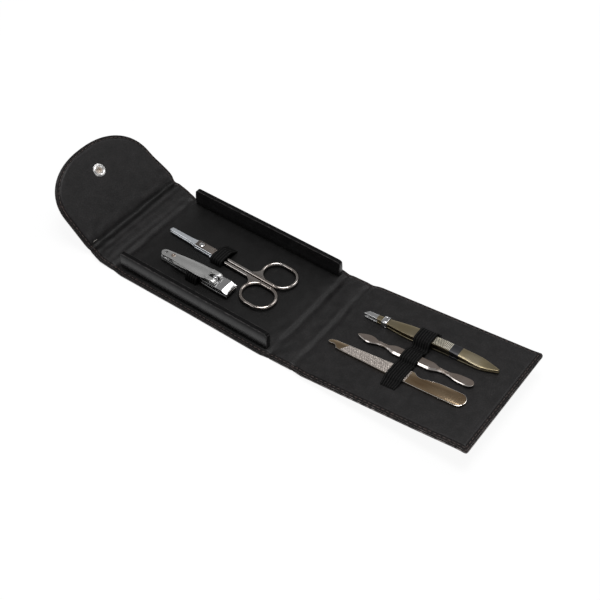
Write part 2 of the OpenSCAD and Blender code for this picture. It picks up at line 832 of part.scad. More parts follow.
module clipper_lower_jaw() {
    color("#cfd0d1") at_clipper() jaw(low_path, post_d / 2 + run_gap, eyelet_r + run_gap);
}

module clipper_upper_jaw() {
    color("#cfd0d1") at_clipper() jaw(high_path, post_d / 2 + 0.35, eyelet_r + 0.15);
}

module clipper_eyelet() {
    top = high_z + jaw_t / 2 + 0.1;
    color("#b9babc") at_clipper() translate([eyelet_x, 0, lie]) difference() {
        union() {
            cylinder(r = eyelet_flange_r, h = eyelet_flange_t - eps);
            cylinder(r = eyelet_r, h = top + eyelet_flange_t - lie);
            translate([0, 0, top - lie]) cylinder(r = eyelet_flange_r, h = eyelet_flange_t);
        }
        translate([0, 0, -1]) cylinder(d = tail_hole_d, h = cut_h);
    }
}

module clipper_post() {
    low = level(low_path, post_x) - jaw_t / 2;
    color("#e2e3e4") at_clipper() translate([post_x, 0, 0]) difference() {
        union() {
            translate([0, 0, low - post_head_t - eps]) cylinder(r = post_head_r, h = post_head_t);
            translate([0, 0, low - post_head_t])
                cylinder(d = post_d, h = lever_z + post_top - low + post_head_t);
        }
        translate([0, 0, lever_z]) rotate([90, 0, 0])
            cylinder(r = trunnion_d / 2 + run_gap, h = 6, center = true);
    }
}

// The lever's own frame: its rocking axis is the origin, its tail points to -X
module at_lever() {
    at_clipper() translate([post_x, 0, lever_z]) rotate([0, -lever_slope, 0]) children();
}

function eased(t) = (1 - cos(180 * t)) / 2;
lever_tail_x = -lever_l + lever_tail_r;
function lever_half(x) =
    x < lever_wide_x
    ? lever_tail_r
      + (lever_w / 2 - lever_tail_r) * eased((x - lever_tail_x) / (lever_wide_x - lever_tail_x))
    : lever_w / 2 - (lever_w - lever_heel_w) / 2 * eased((x - lever_wide_x) / (heel - lever_wide_x));

module lever_plan() {
    steps = 16;
    xs = [for (i = [0:steps]) lever_tail_x + (heel - lever_tail_x) * i / steps];
    translate([lever_tail_x, 0]) circle(lever_tail_r);
    polygon(concat([for (x = xs) [x, -lever_half(x)]], [for (x = reversed(xs)) [x, lever_half(x)]]));
}

module clipper_lever() {
    color("#d6d7d8") at_lever() {
        difference() {
            translate([0, 0, -lever_t / 2]) linear_extrude(height = lever_t) lever_plan();
            translate([-fork_back, -fork_w / 2, -lever_t])
                cube([fork_back + heel + 1, fork_w, 2 * lever_t]);
            translate([lever_eye_x, 0, -2]) cylinder(d = tail_hole_d, h = 4);
            translate([file_pivot_x, 0, -2]) cylinder(r = rivet_d / 2 + 2 * eps, h = 4);
        }
        for (side = [-1, 1]) translate([0, side * (fork_w / 2 - 0.3), 0]) rotate([90, 0, 0])
            cylinder(d = trunnion_d, h = trunnion_l, center = true);
    }
}

module clipper_file() {
    point = swing_file_w / 2;
    color("#b9babc") at_lever() translate([file_pivot_x, 0, -lever_t / 2 - swing_file_gap - swing_file_t])
        difference() {
            linear_extrude(height = swing_file_t) {
                circle(swing_file_w / 2);
                polygon([[0, -point], [swing_file_l - 6, -point * 0.8], [swing_file_l, 0],
                         [swing_file_l - 6, point * 0.8], [0, point]]);
            }
            translate([0, 0, -1]) cylinder(r = rivet_d / 2 + run_gap, h = 3);
        }
}

module clipper_file_rivet() {
    depth = swing_file_t + swing_file_gap + lever_t / 2 + 0.05;
    color("#e2e3e4") at_lever() translate([file_pivot_x, 0, 0]) {
        translate([0, 0, lever_t / 2 + eps]) cylinder(r = rivet_head_r, h = rivet_head_t);
        translate([0, 0, -depth - 0.1]) cylinder(d = rivet_d, h = depth + lever_t / 2 + 0.2);
        translate([0, 0, -depth - rivet_head_t]) cylinder(r = rivet_head_r, h = rivet_head_t);
    }
}

// Tweezers, drawn from their tips
module at_tweezers() {
    on_cover() translate([tweezers_pos.x, tweezers_pos.y, panel_t]) children();
}

function arm_half(x) =
    let (ring_end = ring_x + 2, wide = grip_start - 2, narrow = grip_end + 2)
    x < ring_end ? tip_w / 2 + (ring_w - tip_w) / 2 * x / ring_end
    : x < wide ? ring_w / 2 + (tweezers_w - ring_w) / 2 * eased((x - ring_end) / (wide - ring_end))
    : x < narrow ? tweezers_w / 2
    : arm_point + (tweezers_w / 2 - arm_point)
                  * pow(max(0, 1 - (x - narrow) / (tweezers_l - narrow)), 0.8);

module arm_plan() {
    wide = grip_start - 2;
    narrow = grip_end + 2;
    xs = concat([for (i = [0:6]) i * wide / 6],
                [for (i = [0:6]) narrow + (tweezers_l - narrow) * i / 6]);
    polygon(concat([for (x = xs) [x, -arm_half(x)]], [for (x = reversed(xs)) [x, arm_half(x)]]));
}

module tweezers_arm(path) {
    difference() {
        intersection() {
            ribbon(path, tweezers_t, tweezers_w + 1);
            linear_extrude(height = cut_h) arm_plan();
        }
        translate([0, -tip_w / 2, -1]) rotate([0, 0, -tip_slant])
            translate([-tip_block, -tip_block / 2, 0]) cube([tip_block, 2 * tip_block, cut_h]);
    }
}

module tweezers_lower_arm() {
    color("#b9ad86") at_tweezers() tweezers_arm(tweezers_low);
}

module tweezers_upper_arm() {
    color("#b9ad86") at_tweezers() tweezers_arm(tweezers_high);
}

module tweezers_ring() {
    low = level(tweezers_low, ring_x) - tweezers_t / 2 - ring_gap;
    high = level(tweezers_high, ring_x) + tweezers_t / 2 + ring_gap;
    color("#dcdde0") at_tweezers() translate([ring_x, 0, 0]) difference() {
        slab(0, ring_l, ring_w + 2 * ring_gap + 2 * ring_t, low - ring_t, high + ring_t);
        slab(-1, ring_l + 1, ring_w + 2 * ring_gap, low, high);
    }
}

// A short slice of the pusher's round neck, which its hulled ends start from
module pusher_neck_ring() {
    rotate([0, 90, 0]) cylinder(d = pusher_neck_d, h = 0.5, $fn = 24);
}

// Cuticle pusher: a pointed spear, a flat handle with bevelled edges, a rounded spade
module cuticle_pusher() {
    mid = lie + pusher_t / 2;
    handle_x = pusher_end_l + pusher_neck_l;
    spade_x = pusher_l - pusher_end_l;
    color("#c6c3ba") on_cover() translate([pusher_pos.x, pusher_pos.y, panel_t]) {
        hull() {
            translate([0, 0, mid]) cube(pusher_point, center = true);
            translate([pusher_end_l * 0.55, 0, mid])
                cube([1, pusher_end_w, pusher_blade_t], center = true);
            translate([pusher_end_l, 0, mid]) pusher_neck_ring();
        }
        translate([pusher_end_l - 1, 0, mid]) rotate([0, 90, 0])
            cylinder(d = pusher_neck_d, h = pusher_l - 2 * pusher_end_l + 2, $fn = 24);
        hull() {
            translate([handle_x - 3, 0, mid]) pusher_neck_ring();
            for (x = [handle_x + 2, pusher_l - handle_x - 3]) {
                translate([x, 0, mid]) cube([1, pusher_w, pusher_t * 0.4], center = true);
                translate([x, 0, mid]) cube([1, pusher_w * 0.6, pusher_t], center = true);
            }
            translate([pusher_l - handle_x + 2.5, 0, mid]) pusher_neck_ring();
        }
        hull() {
            translate([spade_x - 0.5, 0, mid]) pusher_neck_ring();
            translate([pusher_l - pusher_end_w / 2, 0, mid - pusher_blade_t / 2])
                cylinder(d = pusher_end_w, h = pusher_blade_t, $fn = 32);
        }
    }
}

// Nail file: hooked tip, straight abrasive blade, handle with a thumb notch
module nail_file() {
    half = file_w / 2;
    tip = file_tip_w / 2;
    color("#b8a888") on_cover() translate([file_pos.x, file_pos.y, panel_t + lie])
        linear_extrude(height = file_t) difference() {
            polygon(concat([[0, tip * 0.35], [file_hook_r, tip * 0.8], [file_hook_l + 2, tip],
                            [file_grip_x, half]],
                           [for (a = [90:-6:-90]) [file_l - half + half * cos(a), half * sin(a)]],
                           [[file_grip_x, -half], [file_hook_l + 2, -tip], [file_hook_l, -tip * 0.85],
                            [0, tip * 0.1]]));
            translate([file_hook_l - file_hook_r - file_hook_set, -tip - file_hook_set])
                circle(file_hook_r);
            translate([file_notch_x, half + file_notch_r - file_notch_in]) circle(file_notch_r);
        }
}

tray_skin();
tray_board();
tray_lining();
near_wall_skin();
near_wall_board();
far_wall_skin();
far_wall_board();
scissors_loop();
clipper_loop();
tray_cover_fold();
tray_flap_fold();
cover_spine_skin();
cover_spine_board();
cover_spine_lining();
cover_fold();
cover_skin();
cover_board();
cover_lining();
cover_band();
stud();
stud_base();
flap_spine_skin();
flap_spine_board();
flap_spine_lining();
flap_fold();
flap_skin();
flap_board();
flap_lining();
snap_cap();
snap_socket();
snap_spring();
scissors_near_arm();
scissors_far_arm();
scissors_screw();
clipper_lower_jaw();
clipper_upper_jaw();
clipper_eyelet();
clipper_post();
clipper_lever();
clipper_file();
clipper_file_rivet();
tweezers_lower_arm();
tweezers_upper_arm();
tweezers_ring();
cuticle_pusher();
nail_file();
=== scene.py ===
"""The look of the open manicure set case: skins, linings, stitches, elastics and tools.

Lengths in the shape code are millimetres and become metres when a piece is made.
A place on the case's sheets is given flat: s runs along the opened case with the tray in the
middle, y across it, h up from the outer face. fold_up() bends that flat place to the open case.
"""

import math

import bmesh
import bpy
from mathutils import Matrix, Vector, noise


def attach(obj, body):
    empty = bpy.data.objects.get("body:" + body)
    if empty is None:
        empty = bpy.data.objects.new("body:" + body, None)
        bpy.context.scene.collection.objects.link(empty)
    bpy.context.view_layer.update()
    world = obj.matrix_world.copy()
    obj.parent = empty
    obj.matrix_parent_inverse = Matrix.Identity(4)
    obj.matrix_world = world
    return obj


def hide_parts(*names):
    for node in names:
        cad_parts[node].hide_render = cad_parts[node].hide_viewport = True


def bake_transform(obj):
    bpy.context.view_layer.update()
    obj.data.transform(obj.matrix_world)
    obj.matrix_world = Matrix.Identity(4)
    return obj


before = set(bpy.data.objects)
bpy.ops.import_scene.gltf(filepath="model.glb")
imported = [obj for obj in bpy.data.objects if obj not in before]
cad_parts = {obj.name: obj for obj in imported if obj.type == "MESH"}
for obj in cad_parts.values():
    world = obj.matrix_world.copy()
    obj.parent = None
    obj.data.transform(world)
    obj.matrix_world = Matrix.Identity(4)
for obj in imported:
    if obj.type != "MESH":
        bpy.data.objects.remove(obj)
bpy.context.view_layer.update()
MM = 0.001

# Sizes of the case, as in the CAD source
CASE_W = 76.0
TRAY_L = 112.0
COVER_L = 106.5
FLAP_L = 50.0
PANEL_T = 2.8
AXIS_H = 0.4
FOLD_SET = 2.7
FLAP_SET = 4.5
WALL_TOP = 13.6
WALL_L = 105.2
WALL_Y = 33.6
COVER_SPINE_L = 15.75
FLAP_SPINE_L = 20.05
COVER_SPINE_REST = 3.3
COVER_REST = 6.6
FLAP_SPINE_REST = 7.0
FLAP_REST = 43.0
SNAP_X = 33.5

# Flat places of the folds and of the case's ends
FOLD_A = TRAY_L / 2
FOLD_B = FOLD_A + COVER_SPINE_L
FOLD_D = -TRAY_L / 2
FOLD_E = FOLD_D - FLAP_SPINE_L
FOLDS = (FOLD_E, FOLD_D, FOLD_A, FOLD_B)
COVER_END = FOLD_B + COVER_L
FLAP_END = FOLD_E - FLAP_L

# Each fold's place, its own angle at rest, half the width it bends over, and its side
BENDS = (
    (FOLD_B, COVER_REST - COVER_SPINE_REST, FOLD_SET, 1),
    (FOLD_A, COVER_SPINE_REST, FOLD_SET, 1),
    (FOLD_E, FLAP_REST - FLAP_SPINE_REST, FLAP_SET, -1),
    (FOLD_D, FLAP_SPINE_REST, FOLD_SET, -1),
)


def clamp(x, low=0.0, high=1.0):
    return max(low, min(high, x))


def smooth(t):
    t = clamp(t)
    return t * t * (3 - 2 * t)


def nth(share, count):
    """Which of count steps a grid point lies on."""
    return int(round(share * count))


def bell(d, reach):
    """1 at d = 0, falling smoothly to 0 at reach."""
    return 0.5 * (1 + math.cos(math.pi * clamp(abs(d) / reach)))


def turned(x, h, axis_x, angle):
    """The place x, h turned up about the fold at axis_x; a positive angle lifts the +X side."""
    a = math.radians(angle)
    dx, dh = x - axis_x, h - AXIS_H
    return axis_x + dx * math.cos(a) - dh * math.sin(a), AXIS_H + dx * math.sin(a) + dh * math.cos(a)


def fold_up(s, y, h):
    """A flat place s, y, h on the opened case, bent to how it lies at rest, in millimetres."""
    x, z = s, h
    for fold, angle, reach, side in BENDS:
        if (s - fold) * side > -reach:
            x, z = turned(x, z, fold, side * angle * smooth(((s - fold) * side + reach) / (2 * reach)))
    return Vector((x, y, z))


def on_cover(u, y, h):
    """A place on the cover: u from its fold, h above its outer face."""
    return fold_up(FOLD_B + u, y, h)


# Materials
class Nodes:
    """Short hands for building a node tree."""

    def __init__(self, tree):
        self.tree = tree

    def feed(self, socket, value):
        """Links a socket to another node's output, or sets it to a number or colour."""
        if hasattr(value, "node"):
            self.tree.links.new(value, socket)
        else:
            socket.default_value = value

    def add(self, kind, output, *ordered, modes=(), **named):
        """Adds a node, feeds its sockets in order or by name, and gives one of its outputs."""
        node = self.tree.nodes.new("ShaderNode" + kind)
        for key, mode in dict(modes).items():
            setattr(node, key, mode)
        for socket, value in zip(node.inputs, ordered):
            self.feed(socket, value)
        for key, value in named.items():
            self.feed(node.inputs[key.replace("_", " ")], value)
        return node.outputs[output] if output else node

    def sum(self, a, b, operation="ADD"):
        return self.add("Math", "Value", a, b, modes={"operation": operation})


class Paint(Nodes):
    """One material's node tree, its patterns read in Object or UV coordinates."""

    def __init__(self, name):
        self.material = bpy.data.materials.new(name)
        self.material.use_nodes = True
        super().__init__(self.material.node_tree)
        self.shader = self.tree.nodes["Principled BSDF"]
        self.place = self.tree.nodes.new("ShaderNodeTexCoord")
        self.height = None

    def set(self, **sockets):
        for key, value in sockets.items():
            self.feed(self.shader.inputs[key.replace("_", " ")], value)

    def mapped(self, scale=(1, 1, 1), turn=(0, 0, 0), uv=False):
        source = self.place.outputs["UV" if uv else "Object"]
        turn = [math.radians(a) for a in turn]
        return self.add("Mapping", "Vector", Vector=source, Scale=scale, Rotation=turn)

    def noise(self, vector, scale, detail=3.0, rough=0.55):
        return self.add("TexNoise", "Fac", Vector=vector, Scale=scale, Detail=detail, Roughness=rough)

    def cells(self, vector, scale):
        return self.add("TexVoronoi", "Distance", Vector=vector, Scale=scale)

    def wave(self, vector, scale, distort=0.0):
        return self.add("TexWave", "Fac", Vector=vector, Scale=scale, Distortion=distort)

    def span(self, value, low, high, to_low=0.0, to_high=1.0, soft=False):
        """Maps low to high on to another range; soft eases both ends."""
        node = self.add("MapRange", None, modes={"interpolation_type": "SMOOTHSTEP" if soft else "LINEAR"})
        for key, number in (("Value", value), ("From Min", low), ("From Max", high), ("To Min", to_low),
                            ("To Max", to_high)):
            self.feed(node.inputs[key], number)
        return node.outputs["Result"]

    def mix(self, share, a, b):
        """A share of colour b over colour a."""
        node = self.add("Mix", None, share, modes={"data_type": "RGBA"})
        for socket, colour in zip(node.inputs[MIX_COLOURS], (a, b)):
            self.feed(socket, colour if hasattr(colour, "node") else (*colour, 1.0))
        return node.outputs[MIX_RESULT]

    def laid(self, under, mask, weight, colour):
        """Lays a colour over another where the mask is, at most by its weight."""
        return self.mix(self.sum(mask, weight, "MULTIPLY"), under, colour)

    def part_of(self, vector, axis):
        return self.add("SeparateXYZ", axis, vector)

    def bump(self, value, strength, distance):
        under = {"Normal": self.height} if self.height else {}
        self.height = self.add("Bump", "Normal", Strength=strength, Distance=distance * MM, Height=value,
                               **under)
        self.set(Normal=self.height)


# The Mix node's colour sockets among its inputs and outputs
MIX_COLOURS = slice(6, 8)
MIX_RESULT = 2


def shaded_by(colour, share):
    return [c * share for c in colour]


def hide_paint(name, dark, light, rough, grain, worn=None, painted_shade=False, shine=0.3, fading=False):
    """Black grained artificial leather: fine pebble grain, soft wrinkles and a little wear; it can also
    paint shade into the tray's middle and beside the flap's fold.
    """
    p = Paint(name)
    uv = p.mapped(uv=True)
    pebble = p.cells(uv, 1000 / grain)
    creases = p.noise(uv, 170, detail=6, rough=0.65)
    cloud = p.noise(uv, 34, detail=4, rough=0.6)
    grit = p.noise(uv, 1250, detail=2, rough=0.6)
    tone = p.mix(p.span(cloud, 0.32, 0.68), dark, light)
    tone = p.laid(tone, p.span(creases, 0.42, 0.75), 0.6, shaded_by(light, 2.0))
    tone = p.laid(tone, p.span(grit, 0.36, 0.62), 0.55, shaded_by(dark, 0.3))
    if painted_shade:
        # Painted shade: the tray's middle, between the walls, is darkened in the colour, and so is a band
        # beside the flap's fold where the crease lies in shade.
        along = p.part_of(uv, "X")
        tray_middle_shade = p.span(p.sum(along, 0.0, "ABSOLUTE"), 0.038, 0.066, 1.0, 0.0, soft=True)
        tone = p.laid(tone, tray_middle_shade, 0.85, shaded_by(dark, 0.18))
        crease = p.sum(p.sum(along, -(FOLD_E + 1.2) * MM), 0.0, "ABSOLUTE")
        tone = p.laid(tone, p.span(crease, 0.0022, 0.0055, 1.0, 0.0, soft=True), 0.8, shaded_by(dark, 0.2))
    if worn:
        rub = p.span(p.noise(uv, 420, detail=5, rough=0.75), 0.52, 0.68)
        tone = p.laid(tone, rub, 0.75, worn)
    p.set(Base_Color=tone, Roughness=p.span(creases, 0.3, 0.7, rough - 0.06, rough + 0.08),
          Specular_IOR_Level=shine)
    if fading:
        p.set(Specular_IOR_Level=p.span(p.part_of(p.mapped(), "Z"), 0.0078, 0.0132, 0.58, 0.05))
    p.bump(pebble, 0.55, 0.06)
    p.bump(creases, 0.5, 0.16)
    return p.material


def steel_paint(name, base, rough, brush=None, tint=None, tint_run=(1, 1, 1), metal=1.0):
    """Polished or brushed steel: fine lines along one direction, soft smudges, a faint tint."""
    p = Paint(name)
    smudges = p.noise(p.mapped(), 260, detail=4)
    colour = p.mix(p.span(smudges, 0.35, 0.7), base, shaded_by(base, 0.93))
    if tint:
        cloud = p.noise(p.mapped(tint_run), 70, detail=2)
        colour = p.mix(p.span(cloud, 0.4, 0.62), colour, tint)
    p.set(Metallic=metal, Base_Color=colour, Roughness=p.span(smudges, 0.3, 0.75, rough, rough + 0.03))
    if brush:
        lines = p.noise(p.mapped((120, 5200, 5200)), 1.0, detail=2, rough=0.5)
        p.bump(lines, brush, 0.006)
    return p.material


hide = hide_paint("black_hide", (0.0055, 0.0055, 0.006), (0.009, 0.0085, 0.009), 0.38, 1.0)
wall_hide = hide_paint("wall_hide", (0.005, 0.005, 0.0054), (0.0085, 0.008, 0.0085), 0.38, 1.0,
                       fading=True)
# Painted shade: a darker, duller copy of the wall hide for the walls' top face.
wall_top = hide_paint("wall_top", (0.0022, 0.0022, 0.0024), (0.0045, 0.0042, 0.0045), 0.55, 1.0, shine=0.1)
# The lining gets painted shade in the tray's middle and beside the flap's fold.
lining = hide_paint("black_lining", (0.009, 0.0083, 0.0086), (0.015, 0.0137, 0.0141), 0.48, 0.8,
                    painted_shade=True)
hem = hide_paint("stitched_hem", (0.0060, 0.0054, 0.0056), (0.0105, 0.0090, 0.0090), 0.48, 0.9,
                 worn=(0.046, 0.030, 0.027), shine=0.18)


def cut_edge_paint(name, low, high):
    """The cut and folded edges of the layers, rubbed lighter along their length."""
    p = Paint(name)
    uv = p.mapped(uv=True)
    rub = p.noise(uv, 330, detail=5, rough=0.7)
    along = p.span(p.part_of(uv, "X"), 0.052, 0.09, 0.25, 1.0)
    p.set(Base_Color=p.mix(p.sum(p.span(rub, 0.44, 0.62), along, "MULTIPLY"), low, high),
          Roughness=p.span(rub, 0.3, 0.7, 0.42, 0.62), Specular_IOR_Level=0.2)
    p.bump(rub, 0.5, 0.06)
    return p.material


cut_edge = cut_edge_paint("cut_edge", (0.014, 0.0125, 0.0125), (0.36, 0.32, 0.31))
bead = cut_edge_paint("wall_bead", (0.010, 0.0095, 0.010), (0.22, 0.2, 0.2))


def fibre_paint(name, dark, light, matt, scale, bump, **grain):
    """A plain fibrous material: sewing thread or board."""
    p = Paint(name)
    fibre = p.noise(p.mapped(), scale, **grain)
    p.set(Base_Color=p.mix(p.span(fibre, 0.3, 0.7), dark, light), Roughness=matt)
    p.bump(fibre, *bump)
    return p.material


thread = fibre_paint("sewing_thread", (0.032, 0.023, 0.021), (0.11, 0.077, 0.071), 0.6, 2400, (0.6, 0.05),
                     detail=2)
board = fibre_paint("grey_board", (0.30, 0.28, 0.26), (0.44, 0.42, 0.39), 0.9, 500, (0.4, 0.1),
                    detail=6, rough=0.7)


def elastic_paint(name, dark, light):
    """Knitted elastic: fine threads across the ribs."""
    p = Paint(name)
    uv = p.mapped(uv=True)
    knit = p.wave(uv, 420, distort=0.6)
    lint = p.noise(uv, 900, detail=4, rough=0.7)
    p.set(Base_Color=p.mix(p.span(lint, 0.4, 0.75), dark, light), Roughness=p.span(knit, 0, 1, 0.62, 0.85),
          Specular_IOR_Level=0.12)
    p.bump(knit, 0.7, 0.12)
    p.bump(lint, 0.4, 0.06)
    return p.material


elastic = elastic_paint("ribbed_elastic", (0.0016, 0.0016, 0.0016), (0.005, 0.005, 0.005))
# Painted highlight: a lighter copy of the elastic for the crests of its ribs, so the grooves read darker
# as painted shade.
elastic_ridge_highlight = elastic_paint("elastic_ridge_highlight", (0.009, 0.0088, 0.0088), (0.024, 0.023, 0.023))
nickel = steel_paint("bright_nickel", (0.82, 0.82, 0.83), 0.12)
snap_steel = steel_paint("snap_nickel", (0.97, 0.96, 0.95), 0.24)
well_steel = steel_paint("snap_well", (0.80, 0.73, 0.66), 0.5, metal=0.35)
blade_steel = steel_paint("scissor_steel", (0.91, 0.95, 1.0), 0.36, brush=0.05)
bow_steel = steel_paint("bow_steel", (0.58, 0.545, 0.52), 0.14, tint=(0.46, 0.41, 0.375))
block_steel = steel_paint("block_steel", (0.23, 0.20, 0.18), 0.36)
rib_steel = steel_paint("rib_steel", (0.50, 0.45, 0.41), 0.3)
# Painted shade: a dark copy of steel for faces that lie in shade.
shaded_steel = steel_paint("shaded_steel", (0.10, 0.10, 0.105), 0.4)
jaw_steel = steel_paint("jaw_steel", (0.80, 0.80, 0.80), 0.16)
satin_steel = steel_paint("satin_sheet", (0.70, 0.70, 0.69), 0.34, brush=0.12)
rivet_steel = steel_paint("rivet_steel", (0.52, 0.44, 0.38), 0.25)
spring_steel = steel_paint("spring_wire", (0.72, 0.70, 0.67), 0.3)
tweezer_steel = steel_paint("warm_satin", (0.40, 0.345, 0.24), 0.28, brush=0.12, tint=(0.36, 0.30, 0.185))
tip_steel = steel_paint("tip_steel", (0.84, 0.84, 0.84), 0.2)
grey_steel = steel_paint("grey_band", (0.075, 0.075, 0.08), 0.35, brush=0.1)
grip_steel = steel_paint("grip_steel", (0.15, 0.13, 0.09), 0.35)
knurl_steel = steel_paint("knurl_steel", (0.95, 0.91, 0.80), 0.5)
pusher_steel = steel_paint("pusher_steel", (0.52, 0.44, 0.39), 0.22, brush=0.05, tint=(0.42, 0.34, 0.29))
file_steel = steel_paint("file_handle", (0.58, 0.44, 0.29), 0.12, brush=0.03, tint=(0.33, 0.22, 0.125),
                         tint_run=(0.4, 1.7, 1.7))
# Painted highlight: a lighter copy of the file's steel for its side and bevel faces, as if they caught the
# light along the edges.
rim_highlight_steel = steel_paint("file_rim_highlight", (0.95, 0.90, 0.84), 0.16)
# Painted highlight: a lighter copy of the pusher's steel for its side and bevel faces.
pusher_rim_highlight = steel_paint("pusher_rim_highlight", (0.85, 0.79, 0.75), 0.18)


def abrasive_paint():
    """The file's cut face: crossed fine rows of points, light grey."""
    p = Paint("file_cut")
    rows, cross = (p.wave(p.mapped(turn=(0, 0, turn)), 330) for turn in (38, -38))
    points = p.sum(rows, cross, "MULTIPLY")
    grit = p.noise(p.mapped(), 1300, detail=4, rough=0.7)
    tone = p.mix(p.span(grit, 0.36, 0.64), (0.25, 0.22, 0.20), (0.62, 0.56, 0.515))
    p.set(Metallic=0.85, Base_Color=tone, Roughness=p.span(points, 0, 1, 0.5, 0.34))
    p.bump(points, 0.9, 0.15)
    p.bump(grit, 0.4, 0.05)
    return p.material


abrasive = abrasive_paint()


# Making pieces
MERGE = 0.0005
HOME = Matrix()


def smoothed(mesh):
    for polygon in mesh.polygons:
        polygon.use_smooth = True


def finish_mesh(bm, name, materials, body=None, replaces=(), at=HOME, crease=None):
    """Turns a bmesh, in millimetres in the frame at, into a piece in metres with outward normals."""
    bmesh.ops.transform(bm, matrix=at, verts=bm.verts)
    bmesh.ops.remove_doubles(bm, verts=bm.verts, dist=MERGE)
    bmesh.ops.recalc_face_normals(bm, faces=bm.faces)
    bmesh.ops.scale(bm, vec=(MM, MM, MM), verts=bm.verts)
    mesh = bpy.data.meshes.new(name)
    bm.to_mesh(mesh)
    bm.free()
    smoothed(mesh)
    for material in materials:
        mesh.materials.append(material)
    piece = bpy.data.objects.new(name, mesh)
    bpy.context.scene.collection.objects.link(piece)
    if body:
        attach(piece, body)
    if replaces:
        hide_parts(*replaces)
    return crisp(piece, crease) if crease else piece


def settle(piece):
    """Applies the piece's modifiers to its mesh."""
    bpy.context.view_layer.update()
    graph = bpy.context.evaluated_depsgraph_get()
    made = bpy.data.meshes.new_from_object(piece.evaluated_get(graph))
    piece.modifiers.clear()
    piece.data = made
    smoothed(made)


def dress(piece, material):
    """Leaves the piece with one material."""
    piece.data.materials.clear()
    piece.data.materials.append(material)


def crisp(piece, angle):
    """Smooth shading with sharp creases kept where faces meet at more than the angle."""
    bm = bmesh.new()
    bm.from_mesh(piece.data)
    for edge in bm.edges:
        if len(edge.link_faces) == 2:
            edge.smooth = edge.calc_face_angle(0.0) < math.radians(angle)
    bm.to_mesh(piece.data)
    bm.free()
    return piece


def swept(bm, across, along, place, uv_at, caps=True, paint=None):
    """A tube of along by across cells put in place by place(u, v), u and v from 0 to 1.
    Its v = 0 and v = 1 sides meet, and caps close the two open ends."""
    made = bmesh.ops.create_grid(bm, x_segments=along, y_segments=across, size=0.5)
    verts = made["verts"]
    uv_layer = bm.loops.layers.uv.verify()
    for face in {f for v in verts for f in v.link_faces}:
        if paint:
            centre = face.calc_center_median()
            face.material_index = paint(centre.x + 0.5, centre.y + 0.5)
        for loop in face.loops:
            u, v = uv_at(loop.vert.co.x + 0.5, loop.vert.co.y + 0.5)
            loop[uv_layer].uv = (u * MM, v * MM)
    for vert in verts:
        vert.co = place(vert.co.x + 0.5, vert.co.y + 0.5)
    bmesh.ops.remove_doubles(bm, verts=verts, dist=MERGE)
    if caps:
        kept = {v for v in verts if v.is_valid}
        rim = [e for e in bm.edges if e.is_boundary and e.verts[0] in kept]
        bmesh.ops.holes_fill(bm, edges=rim, sides=0)


def eased(a, b, c, d, t):
    """The number a share t of the way from b to c on a smooth run through all four."""
    square, cube = 2 * a - 5 * b + 4 * c - d, 3 * b - a - 3 * c + d
    return 0.5 * (2 * b + (c - a) * t + square * t * t + cube * t ** 3)


def curve_through(points, steps):
    """A smooth path through two-number points, as a list."""
    run = [points[0], *points, points[-1]]
    out = [tuple(eased(*four, k / steps) for four in zip(*run[i:i + 4]))
           for i in range(len(points) - 1) for k in range(steps)]
    return out + [tuple(points[-1])]


def read_at(path, x):
    """Second number of a path at first number x."""
    for a, b in zip(path, path[1:]):
        if x <= b[0]:
            share = (x - a[0]) / (b[0] - a[0]) if b[0] > a[0] else 0
            return a[1] + (b[1] - a[1]) * clamp(share)
    return path[-1][1]


# The case's sheets
def fold_depth(s):
    """1 in the bottom of a fold, 0 away from it; the flap's spine has two shallow creases more."""
    deep = max(bell(s - f, FOLD_SET + (1.5 if f == FOLD_E else 0.9)) for f in FOLDS)
    return max(deep, 0.45 * bell(s - FOLD_E - 6.4, 1.9), 0.3 * bell(s - FOLD_D + 5.2, 2.2))


def ripple(s, y):
    """Soft unevenness of the lining, stronger beside the folds and in the tray's corners."""
    near = min(FOLDS, key=lambda f: abs(s - f))
    d = s - near
    lump = noise.noise(Vector((s * 0.045, y * 0.045, 3.1)))
    sway = 2.6 * noise.noise(Vector((s * 0.02, y * 0.05, 0.4)))
    run = math.sin(d * 0.8 + sway * 1.6)
    beside = math.exp(-max(0.0, abs(d) - 2.0) / 6.0)
    corner = math.exp(-((abs(y) - 33) ** 2) / 110.0) * (1.7 if s < 0 else 1.0)
    pull = math.sin((abs(d) - (38 - abs(y)) * 0.7) * 0.75) * corner * math.exp(-abs(d) / 10.0)
    fine = 0.03 * noise.noise(Vector((s * 0.22, y * 0.22, 8.0)))
    return 0.12 * lump + 0.13 * run * beside + 0.16 * pull + fine


FLAP_W = CASE_W - 2.4
FLAP_STRAIGHT = FLAP_L * 0.45
FLAP_POWER = 2.2
COVER_R = 1.3
COVER_FLARE = 0.4

# How far the sheets' far and near edges stand out past the case's width
FAR_OUT = ((FOLD_E - 26, 1.2), (FOLD_E - 16, 2.6), (FOLD_E - 8, 2.2), (FOLD_E, 1.7), (FOLD_E + 6, 1.5),
           (FOLD_E + 12, 0.6), (FOLD_D, -1.0), (0.0, 0.0), (FOLD_A, 1.75), (COVER_END, 1.8))
NEAR_OUT = ((FOLD_E - 6, -1.0), (FOLD_E, -0.9), (FOLD_E + 5, 0.6), (FOLD_E + 10, 1.7), (FOLD_D, 1.5),
            (0.0, 0.9), (FOLD_A, 1.0), (FOLD_B, 0.9), (COVER_END - 30, 0.2), (COVER_END, -0.5))
FAR_ROOT, NEAR_ROOT = 26.0, 8.0


